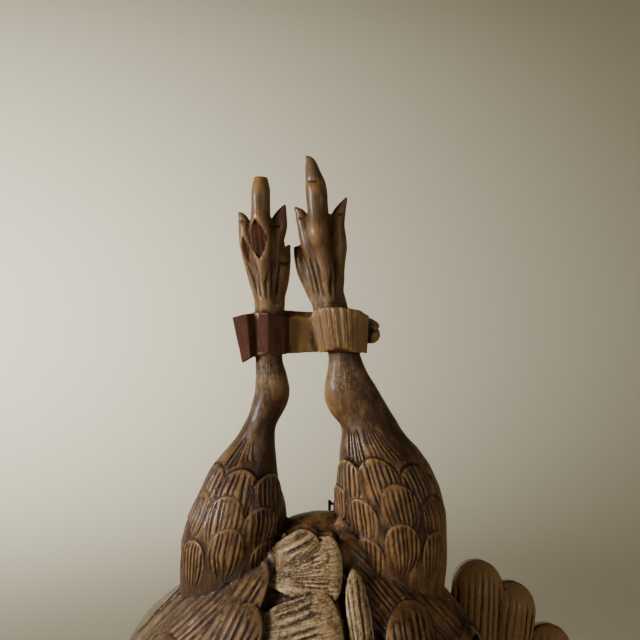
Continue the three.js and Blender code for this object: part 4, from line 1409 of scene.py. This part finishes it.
def carved_wood(colours):
    finish = Finish("carved_wood")
    cut = finish.attribute("cut")
    lane = finish.attribute("lane")
    force = finish.attribute("force")
    recess_stain_and_shade = finish.attribute("recess_stain_and_shade")
    proud = finish.attribute("proud")
    dusty = finish.attribute("dusty")
    broken = finish.attribute("broken")
    golden_and_painted_light = finish.attribute("golden_and_painted_light")
    barb_place = finish.node("ShaderNodeCombineXYZ", X=finish.attribute("barb_across"),
                             Y=finish.attribute("barb_along") * 0.08)
    barbs = finish.node("ShaderNodeTexNoise", Vector=barb_place, Scale=1.4, Detail=3.0, Roughness=0.6)
    grain = finish.noise(900, (1, 1, 0.06), 5.0)
    pores = finish.noise(2600, (1, 1, 0.09), 2.0)
    cloud = finish.noise(22, (1, 1, 0.6), 3.0)
    speck = finish.noise(700, (1, 1, 1), 4.0)
    mottle = finish.noise(190, (1, 1, 0.6), 4.0, 0.65)
    from_line = (lane + (mottle - 0.5) * 0.8).folded()
    line = (1 - from_line / 0.22).clamped() * force
    crest = ((from_line - 0.28) / 0.17).clamped() * force
    # Dark crease round each feather's edge: painted shadow under the edge, and a dip in the bump
    edge_shade_line = (1 - abs(finish.attribute("edge") + 0.2) / 0.6).clamped()
    wear = (proud * 2.0 + crest * 0.5 + (cloud - 0.5) * 2.4 + (mottle - 0.5) * 2.4 - 0.05
            + (grain - 0.5) * 0.8).clamped()
    body = finish.mix(wear, tuple(colours.stain), tuple(colours.worn))
    # Golden wood, and on the wings it is also painted light
    body = finish.mix((golden_and_painted_light * (0.35 + grain * 0.6)).clamped(), body, tuple(colours.golden_and_painted_light))
    body = finish.mix(finish.attribute("horn") * 0.55, body, tuple(colours.horn))
    patches = (speck - 0.48) * 3.0 + (barbs - 0.48) * 2.2 + (mottle - 0.48) * 3.0 + proud * 0.6 + 0.5
    powder = (dusty * patches * (1 - cut)).clamped() * 0.8
    body = finish.mix(powder, body, tuple(colours.dust))
    # Painted glints: pale spots standing in for light glancing off crests and proud grain of the dusty
    # feathers, with pale worn crests
    glint = (speck - 0.54) * 3.5 + (barbs - 0.5) * 4.5 + proud * 0.9 + crest * 0.6
    glint = (dusty ** 3 * glint).clamped()
    body = finish.mix(glint * 0.75, body, tuple(colours.crest_and_painted_glint))
    # Painted shade: darker in the hollows, in the knife cuts and in the creases round feather edges, with
    # stain gathered there and dark grain and pores
    stain_and_painted_shade = (recess_stain_and_shade * 1.15 + cut * 0.35 + line * 0.8 + edge_shade_line * 0.5 + (grain - 0.5) * 0.5
            + (0.46 - pores) * 1.6 * (1 - dusty)).clamped()
    body = finish.mix(stain_and_painted_shade * 0.9, body, tuple(colours.recess_stain_and_shade))
    fresh = finish.mix((grain * 2.2 - 0.7).clamped(), tuple(colours.broken), tuple(colours.splinter))
    fresh = finish.mix(((0.47 - pores) * 5).clamped(), fresh, tuple(colours.recess_stain_and_shade))
    body = finish.mix(broken, body, fresh)
    finish.fill(finish.shader.inputs["Base Color"], body)
    finish.fill(finish.shader.inputs["Specular IOR Level"], 0.27)
    finish.fill(finish.shader.inputs["Coat Roughness"], 0.16)
    gloss = (0.08 + proud * 0.65 + crest * 0.15) * (1 - dusty * 0.35)
    gloss = (gloss * (1.2 - mottle * 1.2) * (1 - broken)).clamped()
    finish.fill(finish.shader.inputs["Coat Weight"], gloss)
    rough = (0.5 + recess_stain_and_shade * 0.25 + (speck - 0.5) * 0.25 + dusty * 0.12 + broken * 0.3
             + (cloud - 0.5) * 0.2).clamped()
    finish.fill(finish.shader.inputs["Roughness"], rough)
    relief = (grain * 0.25 + barbs * 0.6 + speck * (0.15 + dusty * 0.7) + pores * 0.1 + mottle * dusty * 1.6
              - line * 0.8 - edge_shade_line * 0.6)
    bump = finish.node("ShaderNodeBump", Strength=0.6, Distance=0.0008, Height=relief)
    finish.fill(finish.shader.inputs["Normal"], bump)
    return finish.material


def loop_wire(colours):
    finish = Finish("loop_wire")
    spots = finish.noise(1500, (1, 1, 1), 3.0)
    colour = finish.mix((spots * 1.4 - 0.2).clamped(), tuple(colours.wire), (0.09, 0.06, 0.045))
    finish.fill(finish.shader.inputs["Base Color"], colour)
    finish.fill(finish.shader.inputs["Metallic"], 0.8)
    finish.fill(finish.shader.inputs["Roughness"], 0.3 + spots * 0.3)
    return finish.material


class CARVING_OT_loop(bpy.types.Operator):
    """Bend the hanging wire"""
    bl_idname = "carving.loop"
    bl_label = "Hanging wire"

    def execute(self, context):
        deselect_all()
        foot = ((LOOP_X - LOOP_HALF_GAP) * MM, LOOP_Y * MM, LOOP_BOTTOM * MM)
        bpy.ops.mesh.primitive_circle_add(vertices=LOOP_SIDES, radius=LOOP_RADIUS * MM, fill_type="NGON",
                                          location=foot)
        wire = bpy.context.active_object
        wire.name = "hanging_wire"
        bpy.ops.object.transform_apply(location=True, rotation=True, scale=True)
        level = (LOOP_TOP - LOOP_HALF_GAP - LOOP_RADIUS) * MM
        bpy.ops.object.mode_set(mode="EDIT")
        bpy.ops.mesh.select_all(action="SELECT")
        bpy.ops.mesh.extrude_region_move(TRANSFORM_OT_translate={"value": (0, 0, level - LOOP_BOTTOM * MM)})
        bpy.ops.mesh.spin(steps=LOOP_STEPS, angle=math.pi, center=(LOOP_X * MM, LOOP_Y * MM, level),
                          axis=(0, 1, 0))
        bpy.ops.mesh.extrude_region_move(TRANSFORM_OT_translate={"value": (0, 0, LOOP_BOTTOM * MM - level)})
        bpy.ops.mesh.select_all(action="SELECT")
        bpy.ops.mesh.remove_doubles(threshold=0.02 * MM)
        bpy.ops.mesh.normals_make_consistent(inside=False)
        bpy.ops.object.mode_set(mode="OBJECT")
        bpy.ops.object.shade_smooth_by_angle(angle=math.radians(50))
        wire.data.materials.append(loop_wire(context.scene.carving_finish))
        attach(wire, "root")
        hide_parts("hanging_loop")
        return {"FINISHED"}


class CARVING_OT_studio(bpy.types.Operator):
    """Set up the floor, the backdrop, the lights and the camera"""
    bl_idname = "carving.studio"
    bl_label = "Studio"

    def execute(self, context):
        colours = context.scene.carving_finish
        finish = Finish("backdrop")
        finish.fill(finish.shader.inputs["Base Color"], tuple(colours.backdrop))
        finish.fill(finish.shader.inputs["Roughness"], 0.9)
        floor_height = CAD_BOX[0][2] - FLOOR_GAP
        deselect_all()
        bpy.ops.mesh.primitive_plane_add(size=1.0)
        sweep = bpy.context.active_object
        sweep.name = "backdrop"
        bpy.ops.object.mode_set(mode="EDIT")
        bpy.ops.mesh.select_all(action="SELECT")
        bpy.ops.mesh.merge(type="CENTER")
        bpy.ops.transform.translate(value=(0, 0, floor_height))
        bpy.ops.mesh.extrude_region_move(TRANSFORM_OT_translate={"value": (ROOM - SWEEP, 0, 0)})
        bpy.ops.mesh.spin(steps=16, angle=math.pi / 2, center=(ROOM - SWEEP, 0, floor_height + SWEEP),
                          axis=(0, 1, 0))
        bpy.ops.mesh.extrude_region_move(TRANSFORM_OT_translate={"value": (0, 0, ROOM_HEIGHT)})
        bpy.ops.mesh.select_all(action="SELECT")
        bpy.ops.mesh.spin(steps=72, angle=2 * math.pi, center=(0, 0, 0), axis=(0, 0, 1))
        bpy.ops.mesh.select_all(action="SELECT")
        bpy.ops.mesh.remove_doubles(threshold=MM)
        bpy.ops.mesh.normals_make_consistent(inside=True)
        bpy.ops.object.mode_set(mode="OBJECT")
        bpy.ops.object.shade_smooth()
        sweep.data.materials.append(finish.material)
        world = bpy.data.worlds.new("studio")
        context.scene.world = world
        world.use_nodes = True
        background = world.node_tree.nodes["Background"]
        background.inputs["Color"].default_value = AIR_COLOUR
        background.inputs["Strength"].default_value = AIR_STRENGTH
        for name, settings in SOFTBOXES.items():
            self.softbox(name, *settings)
        deselect_all()
        bpy.ops.object.camera_add(location=tuple(c * MM for c in CAMERA_PLACE), rotation=(math.pi / 2, 0, 0))
        camera = bpy.context.active_object
        camera.data.sensor_width = CAMERA_SENSOR
        camera.data.lens = CAMERA_SENSOR * CAMERA_PIXELS / FRAME_PIXELS
        camera.data.clip_start = CAMERA_CLIP
        context.scene.camera = camera
        return {"FINISHED"}

    def softbox(self, name, place, target, size, power, spread):
        bpy.ops.object.light_add(type="AREA", location=place)
        light = bpy.context.active_object
        light.name = name
        light.data.shape = "SQUARE"
        light.data.size = size
        light.data.energy = power
        light.data.spread = math.radians(spread)
        aim = Vector(target) - Vector(place)
        light.rotation_euler = aim.to_track_quat("-Z", "Y").to_euler()


STEPS = ("legs", "thigh_feathers", "binding", "body", "wings", "head", "carve", "loop", "studio")


class CARVING_PT_panel(bpy.types.Panel):
    """Buttons and sizes of the carving"""
    bl_idname = "CARVING_PT_panel"
    bl_label = "Carved game bird"
    bl_space_type = "VIEW_3D"
    bl_region_type = "UI"
    bl_category = "Carving"

    def draw(self, context):
        for step in STEPS:
            self.layout.operator("carving." + step)
        for group in (context.scene.carving_sizes, context.scene.carving_finish):
            for name in group.__annotations__:
                self.layout.prop(group, name)


CLASSES = (CarvingSizes, CarvingFinish, CARVING_OT_legs, CARVING_OT_thigh_feathers, CARVING_OT_binding,
           CARVING_OT_body, CARVING_OT_wings, CARVING_OT_head, CARVING_OT_carve, CARVING_OT_loop,
           CARVING_OT_studio, CARVING_PT_panel)


def register():
    for part in CLASSES:
        bpy.utils.register_class(part)
    bpy.types.Scene.carving_sizes = bpy.props.PointerProperty(type=CarvingSizes)
    bpy.types.Scene.carving_finish = bpy.props.PointerProperty(type=CarvingFinish)


def unregister():
    del bpy.types.Scene.carving_finish
    del bpy.types.Scene.carving_sizes
    for part in reversed(CLASSES):
        bpy.utils.unregister_class(part)


def main():
    register()
    for step in STEPS:
        getattr(bpy.ops.carving, step)()


if __name__ == "__main__":
    main()
